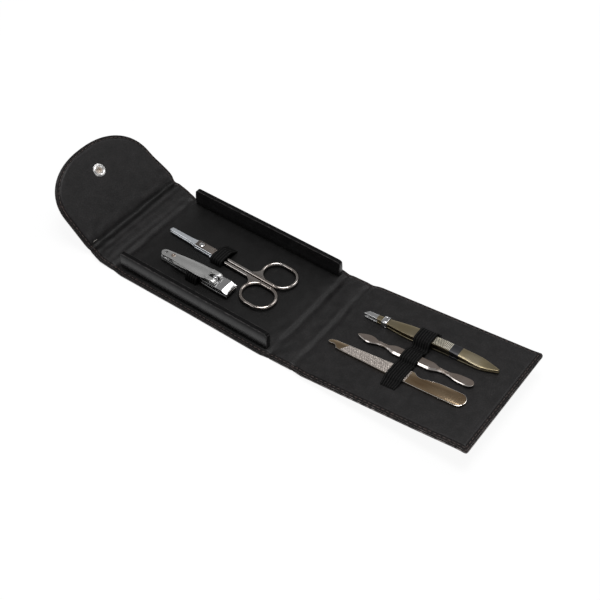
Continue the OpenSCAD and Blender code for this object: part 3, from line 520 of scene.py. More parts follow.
def half_width(s, side):
    """Half the width of the case at the flat place s, with its drawn-in spines and round ends."""
    drawn = max(bell(s - f, 7.0) for f in FOLDS) * 0.8
    if FOLD_A < s < FOLD_B or FOLD_E < s < FOLD_D:
        drawn = 0.8
    half = CASE_W / 2 - drawn + read_at(FAR_OUT if side > 0 else NEAR_OUT, s)
    half += COVER_FLARE * smooth((s - COVER_END + 9) / 9) ** 2
    if s > COVER_END - COVER_R:
        past = min(COVER_R, s - COVER_END + COVER_R)
        return half - COVER_R + math.sqrt(COVER_R ** 2 - past ** 2)
    if s < FOLD_E:
        share = clamp((FOLD_E - s - FLAP_STRAIGHT) / (FLAP_L - FLAP_STRAIGHT))
        cosine = share ** (FLAP_POWER / 2)
        flap = FLAP_W / 2 * math.sqrt(max(0.0, 1 - cosine ** 2)) ** (2 / FLAP_POWER)
        root = FAR_ROOT if side > 0 else NEAR_ROOT
        half = flap + (half - flap) * smooth((s - FOLD_E + root) / root)
    return half


def inset_of(s, y):
    """Distance from the flat place s, y in to the case's edge."""
    slope = (half_width(s + 0.05, y) - half_width(s - 0.05, y)) / 0.1
    inset = (half_width(s, y) - abs(y)) / math.sqrt(1 + slope * slope)
    return max(0.0, min(inset, COVER_END - s, s - FLAP_END))


# Insets from the edge at which the sheets have points
HEM = (0.0, 0.12, 0.35, 0.7, 1.15, 1.4, 1.6, 1.8, 2.05, 2.4, 2.8, 3.3, 4.2)
INNER_CELLS = 36
STITCH_IN = 1.6
LINING_IN = 0.4
HEM_ROLL = 0.7
FACE_LIFT = 0.02


def lining_top(s, y, inset):
    """Height of the lining's face: low over the hem and in the folds, where there is no board."""
    deep = fold_depth(s) * (0.75 + 0.35 * noise.noise(Vector((s * 0.04, y * 0.09, 5.0))))
    low_hem = 0.45 * (1 - smooth((inset - 2.0) / 0.8))
    top = PANEL_T + FACE_LIFT - low_hem * (1 - deep) - 0.85 * deep
    top += ripple(s, y) * smooth((inset - 2.4) / 2)
    top -= 0.16 * bell(inset - STITCH_IN, 0.42)
    if inset < HEM_ROLL + LINING_IN:
        top -= 0.25 * (1 - math.sqrt(max(0.0, 1 - (1 - (inset - LINING_IN) / HEM_ROLL) ** 2)))
    return min(top, PANEL_T + (0.1 if s > FOLD_B + 6 else 0.18))


MIDDLE_FLAP, MIDDLE_COVER = (FOLD_E + FOLD_D) / 2, (FOLD_A + FOLD_B) / 2
SPANS = {
    "flap": (FLAP_END, MIDDLE_FLAP),
    "flap_side": (MIDDLE_FLAP, 0.0),
    "cover_side": (0.0, MIDDLE_COVER),
    "cover": (MIDDLE_COVER, COVER_END),
}


def row_places(part):
    """The places s of the rows of points across one length of the sheets."""
    low, high = SPANS[part]
    places = [low]
    if part == "flap":
        places += [FLAP_END + d for d in HEM[1:]]
    stop = high - HEM[-1] - 0.5 if part == "cover" else high
    while places[-1] < stop - 0.01:
        s = places[-1]
        near = min(abs(s - f) for f in FOLDS)
        step = 0.45 if near < 4.5 else 0.9 if near < 12 or s < FLAP_END + 12 else 1.8
        places.append(min(stop, s + step))
    if part == "cover":
        places += [COVER_END - d for d in reversed(HEM)]
    return places


def ring_places():
    """The columns of points round a sheet: side, inset from the edge there, and face."""
    ring = [(1, d, "top") for d in HEM]
    ring += [(1 - 2 * k / INNER_CELLS, HEM[-1], "top") for k in range(1, INNER_CELLS)]
    ring += [(-1, d, "top") for d in reversed(HEM)]
    ring += [(-1, d, "bottom") for d in (0.0, 0.3, 2.0, 3.2)]
    ring += [(-1 + 2 * k / 12, HEM[-1], "bottom") for k in range(1, 12)]
    ring += [(1, d, "bottom") for d in (3.2, 2.0, 0.3, 0.0)]
    return ring + [ring[0]]


def lining_height(s, y, inset, face):
    top = lining_top(s, y, inset)
    return top if face == "top" else top - (0.32 if inset < LINING_IN + 0.2 else 0.55)


def skin_height(s, y, inset, face):
    """The outer skin: thin under the boards, doubled up to the lining round the edge."""
    rim = 0.22 * (1 - math.sqrt(1 - (1 - min(1.0, inset / 0.5)) ** 2))
    if face == "bottom":
        return 0.3 * bell(min(abs(s - f) for f in FOLDS), 1.4) + rim
    under = lining_top(s, y, max(inset, LINING_IN)) - 0.6
    thick = 0.78 + (under - 0.78) * (1 - smooth((inset - 2.1) / 0.3))
    return min(thick, under) - rim


def sheet_piece(part, name, bodies, fold, replaces, outer):
    """One length of the lining or of the outer skin, as a closed sheet that bends at one fold."""
    rows = row_places(part)
    ring = ring_places()
    margin = 0.0 if outer else LINING_IN

    def flat(u, v):
        s = rows[nth(u, len(rows) - 1)]
        side, inset, face = ring[nth(v, len(ring) - 1)]
        s = clamp(s, FLAP_END + margin, COVER_END - margin)
        half = max(0.3, half_width(s, side) - margin)
        reach = min(1.0, half / 8)
        return s, side * (half - inset * reach), face

    def place(u, v):
        s, y, face = flat(u, v)
        height = skin_height if outer else lining_height
        return fold_up(s, y, height(s, y, max(margin, inset_of(s, y)), face))

    def uv_at(u, v):
        s, y, face = flat(u, v)
        return s, y if face == "top" else y + 1.7

    def paint(u, v):
        column = int(v * (len(ring) - 1))
        s, y, _ = flat(u, v)
        if ring[column][2] != ring[column + 1][2]:
            return 2
        return 1 if inset_of(s, y) < 2.4 else 0

    bm = bmesh.new()
    swept(bm, len(ring) - 1, len(rows) - 1, place, uv_at, paint=paint)
    for face in bm.faces:
        if len(face.verts) > 4:
            face.material_index = 2
    paints = [hide, hem, cut_edge] if outer else [lining, hem, cut_edge]
    piece = finish_mesh(bm, name, paints, replaces=replaces)
    if name == "lining_flap":
        bored(piece, [(0, 0, -1.6, 1, 2.25)], SNAP_FLAP)
    crisp(piece, 40)
    bend_with(piece, bodies, fold)


def bend_with(piece, bodies, fold):
    """Bakes the sheet's place into its mesh; the fold's reach and end points are worked out but not used,
    and the sheet is not tied to the bodies on either side.
    """
    reach = FLAP_SET if fold == FOLD_E else FOLD_SET
    start, end = (fold_up(fold + d, 0, AXIS_H) * MM for d in (-reach, reach))
    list(bodies)
    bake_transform(piece)


LENGTHS = (
    ("flap", ("flap", "flap_spine"), FOLD_E),
    ("flap_side", ("flap_spine", "tray"), FOLD_D),
    ("cover_side", ("tray", "cover_spine"), FOLD_A),
    ("cover", ("cover_spine", "cover"), FOLD_B),
)
LINED = {
    "flap": ("flap_lining", "flap_spine_lining"),
    "flap_side": ("tray_lining",),
    "cover_side": ("cover_spine_lining",),
    "cover": ("cover_lining",),
}
SKINNED = {
    "flap": ("flap_skin", "flap_spine_skin", "flap_fold"),
    "flap_side": ("tray_skin", "tray_flap_fold"),
    "cover_side": ("tray_cover_fold",),
    "cover": ("cover_skin", "cover_spine_skin", "cover_fold"),
}

# Bars, plates and turned parts
X_AXIS, Y_AXIS, Z_AXIS = Matrix.Identity(3)


def rounded(half_w, half_h, r, flat, arc, spread=0):
    """Places round a section: a rounded rectangle, or with flat = 1 a chamfered one; spread
    adds points across its upper and lower faces."""
    r = min(r, half_w, half_h)
    ring = []
    for quarter in range(4):
        corner_y = (half_w - r) * (1 if quarter in (0, 3) else -1)
        corner_z = (half_h - r) * (1 if quarter in (0, 1) else -1)
        for k in range(arc + 1):
            step = 90 * k / arc
            chord = math.cos(math.radians(45)) / math.cos(math.radians(step - 45))
            reach = r * (1 + (chord - 1) * flat)
            a = math.radians(90 * quarter + step)
            ring.append((corner_y + reach * math.cos(a), corner_z + reach * math.sin(a)))
        if quarter in (0, 2):
            ring += [(corner_y * (1 - 2 * k / (spread + 1)), half_h * (1 - quarter))
                     for k in range(1, spread + 1)]
    return ring


def row(x, y, z, wide, high, r, flat=0.0, crown=0.0, side=Y_AXIS):
    """One station of a bar: its middle, half width, half height, corner radius and crown."""
    return Vector((x, y, z)), side, wide, high, r, flat, crown


def beam(bm, rows, arc=3, loop=False, paint=None, shift=None, spread=0):
    """A bar through rows; with loop its two ends meet. shift(x, y) moves points along it."""
    count = 4 * (arc + 1) + 2 * spread
    last = len(rows) - 1
    rings = [rounded(*r[2:6], arc, spread) for r in rows]

    def place(u, v):
        i = nth(u, last)
        at, side, wide = rows[i][:3]
        y, z = rings[i][nth(v, count) % count]
        point = at + side * y + Z_AXIS * (z - rows[i][6] * (y / wide) ** 2)
        if shift:
            point.x += shift(at.x, point.y)
        return point

    swept(bm, count, last, place, lambda u, v: (rows[nth(u, last)][0].x, 12 * v), not loop, paint)


def blunt(rows, r=0.35):
    """Adds the small round edge at both ends of a bar."""
    out = []
    for end in (0, -1):
        at, side, wide, high, corner, flat, crown = rows[end]
        near = rows[1] if end == 0 else rows[-2]
        run = (at - near[0]).normalized()
        cut = min(r, wide * 0.6, high * 0.6)
        tips = [(at - run * cut * 0.3, side, wide - cut * 0.3, high - cut * 0.3, corner, flat, crown),
                (at, side, wide - cut, high - cut, max(0.02, corner - cut * 0.6), flat, crown)]
        body = (at - run * cut, side, wide, high, corner, flat, crown)
        out.append((body, tips))
    (first, first_tips), (final, final_tips) = out
    return [first_tips[1], first_tips[0], first] + rows[1:-1] + [final, final_tips[0], final_tips[1]]


def turned_piece(name, profile, frame_at, material, body, replaces):
    """A part turned from its profile of radius and height, standing on its frame's Z axis."""
    bm = bmesh.new()
    verts = [bm.verts.new((r, 0, z)) for r, z in profile]
    edges = [bm.edges.new(pair) for pair in zip(verts, verts[1:])]
    bmesh.ops.spin(bm, geom=verts + edges, cent=(0, 0, 0), axis=(0, 0, 1), steps=40, angle=math.tau,
                   use_merge=True, use_duplicate=False)
    bmesh.ops.remove_doubles(bm, verts=bm.verts, dist=0.002)
    return finish_mesh(bm, name, [material], body, replaces, frame_at, 30)


def plate(bm, outline, low, high, edge):
    """A flat plate cut to an outline, its rims eased."""
    verts = [bm.verts.new((x, y, low)) for x, y in outline]
    face = bm.faces.new(verts)
    raised = bmesh.ops.extrude_face_region(bm, geom=[face])["geom"]
    lifted = [g for g in raised if isinstance(g, bmesh.types.BMVert)]
    bmesh.ops.translate(bm, vec=(0, 0, high - low), verts=lifted)
    if edge:
        faces = {f for v in verts + lifted for f in v.link_faces if len(f.verts) > 4}
        rims = list({e for f in faces for e in f.edges})
        bmesh.ops.bevel(bm, geom=rims, offset=edge, segments=2, profile=0.5, affect="EDGES", material=-1)


def bored(piece, holes, frame_at):
    """Cuts round holes through a piece: each is x, y, low, high and radius in its frame."""
    bm = bmesh.new()
    for x, y, low, high, r in holes:
        made = bmesh.ops.create_cone(bm, segments=32, radius1=r, radius2=r, depth=high - low,
                                     cap_ends=True)
        bmesh.ops.translate(bm, vec=(x, y, (low + high) / 2), verts=made["verts"])
    return cut_out(piece, bm, frame_at)


def cut_out(piece, bm, frame_at):
    """Takes the shape in bm, in millimetres in its frame, out of the piece."""
    bmesh.ops.transform(bm, matrix=frame_at, verts=bm.verts)
    bmesh.ops.scale(bm, vec=(MM, MM, MM), verts=bm.verts)
    mesh = bpy.data.meshes.new("cutter")
    bm.to_mesh(mesh)
    bm.free()
    cutter = bpy.data.objects.new("cutter", mesh)
    bpy.context.scene.collection.objects.link(cutter)
    cut = piece.modifiers.new("cut", "BOOLEAN")
    cut.object = cutter
    cut.operation = "DIFFERENCE"
    cut.solver = "EXACT"
    cut.use_self = True
    settle(piece)
    bpy.data.objects.remove(cutter)
    return piece


def fused(piece):
    """Grows the piece's overlapping shapes into one forged skin."""
    remesh = piece.modifiers.new("skin", "REMESH")
    remesh.mode = "VOXEL"
    remesh.voxel_size = 0.15 * MM
    soften = piece.modifiers.new("soften", "SMOOTH")
    soften.factor = 0.5
    soften.iterations = 12
    settle(piece)


def cover_frame(x, y):
    """The frame of a tool on the cover: its origin lies on the lining."""
    origin = on_cover(x, y, PANEL_T)
    along = on_cover(x + 1, y, PANEL_T) - origin
    out = on_cover(x, y, PANEL_T + 1) - origin
    columns = Matrix((along, Y_AXIS, out)).transposed().to_4x4()
    return Matrix.Translation(origin) @ columns


# Side walls
WALL_H = WALL_TOP - PANEL_T
WALL_SIDE = ((1.2, -0.1), (1.25, 0.7), (1.52, 1.15), (1.74, 2.1), (1.86, 3.6), (1.9, 5.2), (1.87, 6.8),
             (1.78, 8.2), (1.62, 9.2), (1.44, 9.85), (1.38, 10.1), (1.44, 10.3), (1.38, 10.52),
             (1.22, 10.66), (1.05, 10.68), (0.9, 10.58), (0.5, 10.6))
BEAD_ROWS = (11, 14)
FAR_WALL_SKEW = 0.006
WALL_ROUND = 2.2


def side_wall(name, side, replaces):
    """A wall: board wrapped in hide, narrow at its sewn foot, with a fine bead along its top edges and its
    top face painted darker as shade.
    """
    ring = [(y, z) for y, z in WALL_SIDE] + [(0, 10.62)]
    ring += [(-y, z) for y, z in reversed(WALL_SIDE)] + [(0, -0.1), WALL_SIDE[0]]
    last = len(ring) - 1
    half = WALL_L / 2
    ends = (half, half - 0.05, half - 0.25, half - 0.6, half - 1.1, half - 1.7, half - 2.4, half - 3.4)
    inner = [half - 5 - k * 2.5 for k in range(int((half - 5) / 2.5))]
    right = sorted(ends + tuple(inner))
    places = [-x for x in reversed(right)] + [0.0] + right

    def place(u, v):
        x = places[nth(u, len(places) - 1)]
        y, z = ring[nth(v, last)]
        past = max(0.0, abs(x) - (half - WALL_ROUND))
        top = WALL_H - (WALL_ROUND - math.sqrt(max(0.0, WALL_ROUND ** 2 - past ** 2))) * 0.75
        pinch = 1 - 0.16 * (1 - smooth((half - abs(x)) / 0.3))
        swell = 0.06 * noise.noise(Vector((x * 0.07, z * 0.15, side * 7))) if 1 < z < 10 else 0
        lean = 0.05 * math.sin(x * 0.055 + side)
        skew = FAR_WALL_SKEW * (x + 9.6) if side > 0 else 0.0
        out = y * pinch + (swell if y > 0 else -swell)
        across = side * WALL_Y + skew + side * out + lean * z / WALL_H
        return Vector((x, across, PANEL_T + z * (top / WALL_H if z > 5 else 1)))

    def paint(u, v):
        column = int(v * last)
        station = int(u * (len(places) - 1))
        if min(station, len(places) - 2 - station) == 1:
            return 1
        rise = min(column, last - 3 - column)
        # The top face takes the darker wall hide: painted shade.
        return 0 if rise < BEAD_ROWS[0] else 1 if rise < BEAD_ROWS[1] else 2

    bm = bmesh.new()
    swept(bm, last, len(places) - 1, place,
          lambda u, v: (places[nth(u, len(places) - 1)], 30 * v), paint=paint)
    finish_mesh(bm, name, [wall_hide, bead, wall_top], "tray", replaces, crease=50)


side_wall("near_wall", -1, ["near_wall_skin"])
side_wall("far_wall", 1, ["far_wall_skin"])


# Elastics
RIB_H = 0.24


def elastic_band(name, body, lay, start, width, ribs, path, replaces):
    """A ribbed elastic over the tools: path is y and height above the lining, lay places it."""
    smooth_path = curve_through(path, 8)
    steps = len(smooth_path) - 1
    cells = ribs * 6
    top = [(width * k / cells, True) for k in range(cells + 1)]
    ring = top + [(width * (1 - k / 6), False) for k in range(7)] + [top[0]]
    last = len(ring) - 1

    def place(u, v):
        i = nth(u, steps)
        y, z = smooth_path[i]
        before, after = smooth_path[max(0, i - 1)], smooth_path[min(steps, i + 1)]
        run = Vector((after[0] - before[0], after[1] - before[1])).normalized()
        across, upper = ring[nth(v, last)]
        phase = abs(math.sin(math.pi * ribs * across / width))
        lift = 0.45 + RIB_H * phase ** 0.7 if upper else 0.0
        drawn = 1.02 - 0.14 * (1 - smooth(min(u, 1 - u) * 7))
        return lay(start + width / 2 + (across - width / 2) * drawn, y - run.y * lift, z + run.x * lift)

    def uv_at(u, v):
        return ring[nth(v, last)][0], u * (abs(path[-1][0] - path[0][0]) + 8)

    # Painted light and shade: the rib crests take the lighter elastic, the grooves between stay dark.
    def paint(u, v):
        cell = int(v * last)
        return 1 if cell < cells and cell % 6 in (2, 3) else 0

    bm = bmesh.new()
    swept(bm, last, steps, place, uv_at, paint=paint)
    finish_mesh(bm, name, [elastic, elastic_ridge_highlight], body, replaces, crease=60)


def on_tray(x, y, h):
    return Vector((x, y, PANEL_T + h))


def over_cover(u, y, h):
    return on_cover(u, y, PANEL_T + h)


elastic_band("scissors_elastic", "tray", on_tray, -14.2, 8.0, 5,
             [(-1.75, -0.7), (-1.55, 0.6), (-1.25, 2.2), (-0.5, 3.2), (1.2, 3.42), (3.4, 3.45),
              (5.9, 3.45), (8.1, 3.25), (10.1, 2.1), (12.2, 0.8), (13.5, 0.05), (13.9, -0.6)],
             ["scissors_loop"])
elastic_band("clipper_elastic", "tray", on_tray, -16.5, 8.0, 5,
             [(-21.1, -0.7), (-20.9, 0.6), (-20.3, 3.2), (-19.4, 4.4), (-17.5, 4.55), (-12.5, 4.55),
              (-10.6, 4.4), (-9.7, 3.2), (-9.1, 0.6), (-8.9, -0.7)], ["clipper_loop"])
elastic_band("cover_elastic", "cover", over_cover, 45.5, 10.0, 7,
             [(-22.9, -0.7), (-22.5, 0.05), (-20.6, 0.3), (-18.7, 0.75), (-17.4, 1.5), (-15.9, 1.66),
              (-12.3, 1.66), (-8.6, 1.66), (-6.9, 1.55), (-5.6, 1.0), (-4.3, 1.2), (-3.2, 2.55),
              (-1.8, 2.76), (2.2, 2.76), (3.6, 2.6), (5.2, 1.3), (7.2, 0.7), (8.9, 1.5), (10.3, 4.3),
              (11.7, 5.1), (14.8, 5.2), (17.9, 5.1), (19.3, 4.3), (20.7, 1.5), (22.4, 0.15), (23.7, -0.7)],
             ["cover_band"])


# Press stud
SNAP_SPOT = fold_up(FOLD_E - SNAP_X, 0, PANEL_T)
FLAP_OUT = (fold_up(FOLD_E - SNAP_X, 0, PANEL_T + 1) - SNAP_SPOT).normalized()
FLAP_RUN = (fold_up(FOLD_E - SNAP_X - 1, 0, PANEL_T) - SNAP_SPOT).normalized()
SNAP_FLAP = Matrix.Translation(SNAP_SPOT) @ Matrix((FLAP_RUN, -Y_AXIS, FLAP_OUT)).transposed().to_4x4()
STUD_AT = cover_frame(TRAY_L - SNAP_X, 0)

for part, bodies, fold in LENGTHS:
    sheet_piece(part, f"lining_{part}", bodies, fold, LINED[part], outer=False)
    sheet_piece(part, f"skin_{part}", bodies, fold, SKINNED[part], outer=True)

socket = turned_piece("socket", [(1.8, -1.75), (2.45, -1.75), (2.45, 0.0), (3.8, 0.0), (4.0, 0.08),
                                 (4.0, 0.2), (3.9, 0.3), (3.6, 0.32), (3.5, 0.42), (3.4, 0.7),
                                 (3.2, 0.86), (2.95, 0.9), (2.7, 0.84), (2.5, 0.66), (2.3, 0.45),
                                 (2.05, 0.25), (1.85, 0.05), (1.8, -0.1), (1.8, -1.75)], SNAP_FLAP,
                      snap_steel, "flap", ["snap_socket"])
cap = turned_piece("cap", [(0, -3.95), (1.4, -3.9), (2.8, -3.72), (4.0, -3.35), (4.6, -2.98),
                           (4.78, -2.84), (4.7, -2.81), (1.5, -2.81), (1.5, -1.99), (2.2, -1.98),
                           (2.2, -1.79), (0, -1.79)],
                   SNAP_FLAP, snap_steel, "flap", ["snap_cap"])


def shade_well(piece):
    """Gives the inside of the socket its duller, warmer metal."""
    piece.data.materials.append(well_steel)
    back = SNAP_FLAP.inverted()
    for polygon in piece.data.polygons:
        at = back @ (polygon.center / MM)
        if math.hypot(at.x, at.y) < 2.2 and -1.9 < at.z < 0.3:
            polygon.material_index = 1


shade_well(socket)
shade_well(cap)
turned_piece("stud_knob", [(0, -5.9), (0.9, -5.88), (1.5, -5.7), (1.75, -5.35), (1.72, -5.0),
                           (1.45, -4.72), (1.25, -4.6), (1.25, -3.4), (1.45, -3.32), (3.6, -3.3),
                           (3.9, -3.22), (4.0, -3.05), (3.95, -2.81), (0.8, -2.81), (0.8, -2.4),
                           (0, -2.4)],
             STUD_AT, nickel, "cover", ["stud"])
turned_piece("stud_washer", [(0, -2.75), (0.75, -2.75), (0.75, -0.93), (2.9, -0.93), (3.0, -0.85),
                             (2.95, -0.64), (0, -0.64)], STUD_AT, nickel, "cover", ["stud_base"])


def socket_spring():
    """Two wires across the socket's mouth."""
    bm = bmesh.new()
    for side in (-1, 1):
        rows = [row(side * 1.55, -1.65 + 3.3 * k / 8, 0.3, 0.22, 0.2, 0.2, side=X_AXIS)
                for k in range(9)]
        beam(bm, rows, arc=2)
    finish_mesh(bm, "spring_wires", [spring_steel], "flap", ["snap_spring"], SNAP_FLAP)


socket_spring()


# Scissors
SCISSORS_AT = Matrix.Translation((-24.2, 3.2, PANEL_T)) @ Matrix.Rotation(math.radians(-1.5), 4, "Z")
SHANK_Y, SHANK_Z, SHANK_R = 1.38, 1.75, 1.12
BOW_X, BOW_Y, BOW_R, BOW_STRAIGHT, BAR_R = 50.0, 9.65, 8.27, 4.6, 1.02


def bow_rows(side):
    """Rows of a finger bow: two half circles joined by straights."""
    rows = []
    turns = 28
    for end, first in ((1, -90), (-1, 90)):
        for k in range(turns + 1):
            a = math.radians(first + 180 * k / turns)
            out = Vector((math.cos(a), math.sin(a), 0))
            at = Vector((BOW_X + end * BOW_STRAIGHT / 2, side * BOW_Y, SHANK_Z)) + out * BOW_R
            rows.append((at, out, BAR_R, BAR_R, BAR_R, 0.0, 0.0))
    return rows + [rows[0]]


def scissors_bow(name, side, body):
    """Shank, bow and the web between them, forged in one."""
    bm = bmesh.new()
    beam(bm, [row(x, side * SHANK_Y, SHANK_Z, SHANK_R, SHANK_R, SHANK_R)
              for x in (10.6, 20, 30, 40, 47, 52.3)], arc=4)
    beam(bm, bow_rows(side), arc=4, loop=True)
    web = [(x, side * y) for x, y in ((33.6, 1.6), (47.2, 1.2), (44.2, 2.4), (42.0, 3.9), (40.5, 6.0),
                                      (39.7, 7.8), (39.0, 5.6), (37.8, 3.8), (35.8, 2.5))]
    plate(bm, web, SHANK_Z - 0.75, SHANK_Z + 0.75, 0)
    piece = finish_mesh(bm, name, [bow_steel], body, at=SCISSORS_AT)
    fused(piece)
    dress(piece, bow_steel)


def scissors_blade(name, side, low, high, blade_low, blade_high, body, replaces):
    """Blade and block of one arm, with the block's tongue over its shank."""
    bm = bmesh.new()
    mid, thick = (blade_low + blade_high) / 2, (blade_high - blade_low) / 2
    stations = ((-23.4, 1.18), (-23.2, 1.25), (-22.0, 1.3), (-18.0, 1.4), (-12.0, 1.5), (-8.0, 1.62),
                (-5.6, 1.9), (-3.0, 2.2))
    beam(bm, [row(x, 0, mid, w, thick, 0.36, flat=1.0) for x, w in stations], arc=2,
         shift=lambda x, y: 0.3 * y if x < -22.5 else 0.0)
    level, depth = (low + high) / 2, (high - low) / 2
    block = [row(x, 0, level, 2.6, depth, 0.25, flat=1.0) for x in (-3.8, 3.0, 9.6)]
    beam(bm, blunt(block, 0.3), arc=2, paint=lambda u, v: int(int(v * 12) == 2))
    tongue = [row(x, side * 1.4, level, 1.2, depth, 0.25, flat=1.0) for x in (8.8, 9.9)]
    beam(bm, blunt(tongue, 0.25), arc=2, paint=lambda u, v: 1)
    if side < 0:
        beam(bm, [row(x, -2.7, level - 0.1, 0.6, 0.7, 0.5) for x in (8.1, 8.3, 9.3, 9.5)], arc=3)
    finish_mesh(bm, name, [blade_steel, block_steel], body, replaces, SCISSORS_AT, 30)


scissors_blade("near_blade", -1, 0.5, 2.2, 0.8, 2.2, "scissors", ["scissors_near_arm"])
scissors_blade("far_blade", 1, 2.25, 3.9, 2.25, 3.6, "scissors_far_arm", ["scissors_far_arm"])
scissors_bow("near_bow", -1, "scissors")
scissors_bow("far_bow", 1, "scissors_far_arm")


def block_ribs():
    """Raised ribs across the scissors' block."""
    bm = bmesh.new()
    for k in range(6):
        beam(bm, [row(2.75 + k, y, 3.9, 0.27, 0.1, 0.09, side=X_AXIS)
                  for y in (-1.85, -1.7, 1.7, 1.85)], arc=1)
    finish_mesh(bm, "block_ribs", [rib_steel], "scissors_far_arm", (), SCISSORS_AT, 35)


block_ribs()
screw = turned_piece("pivot_screw", [(0, 0.15), (1.4, 0.15), (1.45, 0.45), (0.9, 0.5), (0.9, 3.9),
                                     (1.5, 3.91), (1.6, 4.0), (1.55, 4.15), (1.2, 4.33), (0.6, 4.42),
                                     (0, 4.45)],
                     SCISSORS_AT, nickel, "scissors", ["scissors_screw"])
slot_cut = bmesh.new()
bmesh.ops.create_cube(slot_cut, size=1.0)
bmesh.ops.scale(slot_cut, vec=(4.0, 0.4, 0.6), verts=slot_cut.verts)
bmesh.ops.translate(slot_cut, vec=(0, 0, 4.5), verts=slot_cut.verts)
crisp(cut_out(screw, slot_cut, SCISSORS_AT), 30)


# Nail clipper
CLIPPER_AT = Matrix.Translation((-39, -15, PANEL_T))
POST_X, JAW_W, JAW_TAIL_R = 40.0, 9.4, 2.45
LEVER_AT = CLIPPER_AT @ Matrix.Translation((POST_X, 0, 7.5)) @ Matrix.Rotation(math.radians(-2.5), 4, "Y")
EYE_X, RIVET_X, LEVER_END = -36.0, -31.0, -39.5


def jaw_half(x):
    if x < JAW_TAIL_R:
        return max(0.4, math.sqrt(max(0.0, JAW_TAIL_R ** 2 - (JAW_TAIL_R - x) ** 2)))
    return JAW_TAIL_R + (JAW_W / 2 - JAW_TAIL_R) * clamp((x - JAW_TAIL_R) / (POST_X - JAW_TAIL_R)) ** 1.1


def edge_curve(x, y):
    """Draws the cutting edge in at its middle."""
    return -(0.8 - (13 - math.sqrt(169 - y * y))) * smooth((x - 46) / 5.5)


def clipper_jaw(name, stations, body, replaces, hole_r, inner):
    """A sheet jaw: x, middle height and half thickness along it; its inner face, in the gap between the
    jaws, is painted dark steel as shade.
    """
    bm = bmesh.new()
    shade_stations = int((len(stations) - 1) * 0.8)

    # Painted shade: the face towards the other jaw, over the first four fifths of the jaw, takes the dark
    # steel.
    def paint(u, v):
        return 1 if int(v * 20) - inner in range(5) and u * (len(stations) - 1) < shade_stations else 0

    beam(bm, [row(x, 0, z, jaw_half(x), t, min(0.3, t * 0.8)) for x, z, t in stations],
         arc=2, shift=edge_curve, paint=paint, spread=4)
    piece = finish_mesh(bm, name, [jaw_steel, shaded_steel], body, replaces, CLIPPER_AT)
    crisp(bored(piece, [(4.0, 0, -1, 9, 1.8), (POST_X, 0, -1, 9, hole_r)], CLIPPER_AT), 20)


TAIL_X = (0.6, 0.72, 0.95, 1.3, 1.8, 2.3, 2.9, 4.0)
clipper_jaw("lower_jaw", [(x, 0.95, 0.6) for x in (*TAIL_X, 10, 18, 24)]
            + [(28, 1.12, 0.6), (32, 1.45, 0.6), (35, 1.65, 0.6), (40, 1.65, 0.6), (45, 1.66, 0.6),
               (48, 1.7, 0.6), (50.2, 1.78, 0.56), (51.2, 1.95, 0.4), (51.5, 2.06, 0.28)],
            "clipper", ["clipper_lower_jaw"], 1.25, 2)
clipper_jaw("upper_jaw", [(x, 2.25, 0.6) for x in (*TAIL_X, 8)]
            + [(13, 2.53, 0.6), (20, 3.04, 0.6), (27, 3.5, 0.6), (34, 3.95, 0.6), (38, 4.22, 0.6),
               (42, 4.5, 0.6), (45.2, 4.5, 0.62), (47.4, 4.5, 0.7), (47.9, 4.5, 0.72), (48.0, 4.47, 0.7),
               (50.0, 3.92, 0.53), (51.2, 3.62, 0.26), (51.5, 3.52, 0.15)],
            "clipper_upper_jaw", ["clipper_upper_jaw"], 1.6, 12)


LEVER_TAIL_R, LEVER_WIDE, LEVER_HEEL = 2.5, 4.5, 4.0
LEVER_BEND, BEND_FROM = 0.7, -14.0
PRONG = ((-4.8, 0.0), (-2.4, 0.0), (-0.6, 0.05), (0.5, 0.2), (1.3, 0.55), (1.9, 1.0), (2.2, 1.4))


def lever_half(x):
    wide_x, tail_x = LEVER_END / 4, LEVER_END + LEVER_TAIL_R
    if x < tail_x:
        return max(0.3, math.sqrt(max(0.0, LEVER_TAIL_R ** 2 - (tail_x - x) ** 2)))
    if x < wide_x:
        swell = 0.5 * (1 - math.cos(math.pi * (x - tail_x) / (wide_x - tail_x)))
        return LEVER_TAIL_R + (LEVER_WIDE - LEVER_TAIL_R) * swell
    return LEVER_WIDE - (LEVER_WIDE - LEVER_HEEL) * smooth((x - wide_x) / (2.2 - wide_x))


def lever_sag(x):
    """How far the lever bows down towards its tail."""
    return LEVER_BEND * clamp((BEND_FROM - x) / (BEND_FROM - LEVER_END)) ** 1.6


def lever():
    """The pressing lever: crowned satin sheet, forked round the post and turned down at its heel."""
    bm = bmesh.new()
    tail = [LEVER_END + d for d in (0.02, 0.12, 0.35, 0.75, 1.3, LEVER_TAIL_R)]
    xs = tail + [LEVER_END + LEVER_TAIL_R + k * 1.72 for k in range(1, 20)] + [-4.0]
    rows = [row(x, 0, 0.1 * smooth((x + 38) / 8) - lever_sag(x), lever_half(x), 0.5, 0.3,
                crown=(lever_half(x) / LEVER_WIDE) ** 2 * (1 - 0.4 * smooth((x + 8) / 5))) for x in xs]
    beam(bm, rows, arc=3, spread=7)
    for side in (-1, 1):
        prong = []
        for x, drop in PRONG:
            outer = lever_half(x)
            prong.append(row(x, side * (outer + 1.45) / 2, -drop - 0.2, (outer - 1.45) / 2, 0.5, 0.18))
        beam(bm, blunt(prong, 0.3), arc=3)
    piece = finish_mesh(bm, "lever_plate", [satin_steel], "clipper_lever",
                        ["clipper_lever"], LEVER_AT)
    crisp(bored(piece, [(EYE_X, 0, -4, 2, 1.05), (RIVET_X, 0, -4, 2, 0.72)], LEVER_AT), 34)


lever()


def trunnion():
    """The lever's round pin through the post."""
    bm = bmesh.new()
    beam(bm, [row(0, y, 0, 0.45, 0.45, 0.45, side=X_AXIS) for y in (-1.9, -1.8, 0, 1.8, 1.9)], arc=3)
    finish_mesh(bm, "lever_pin", [nickel], "clipper_lever", at=LEVER_AT)


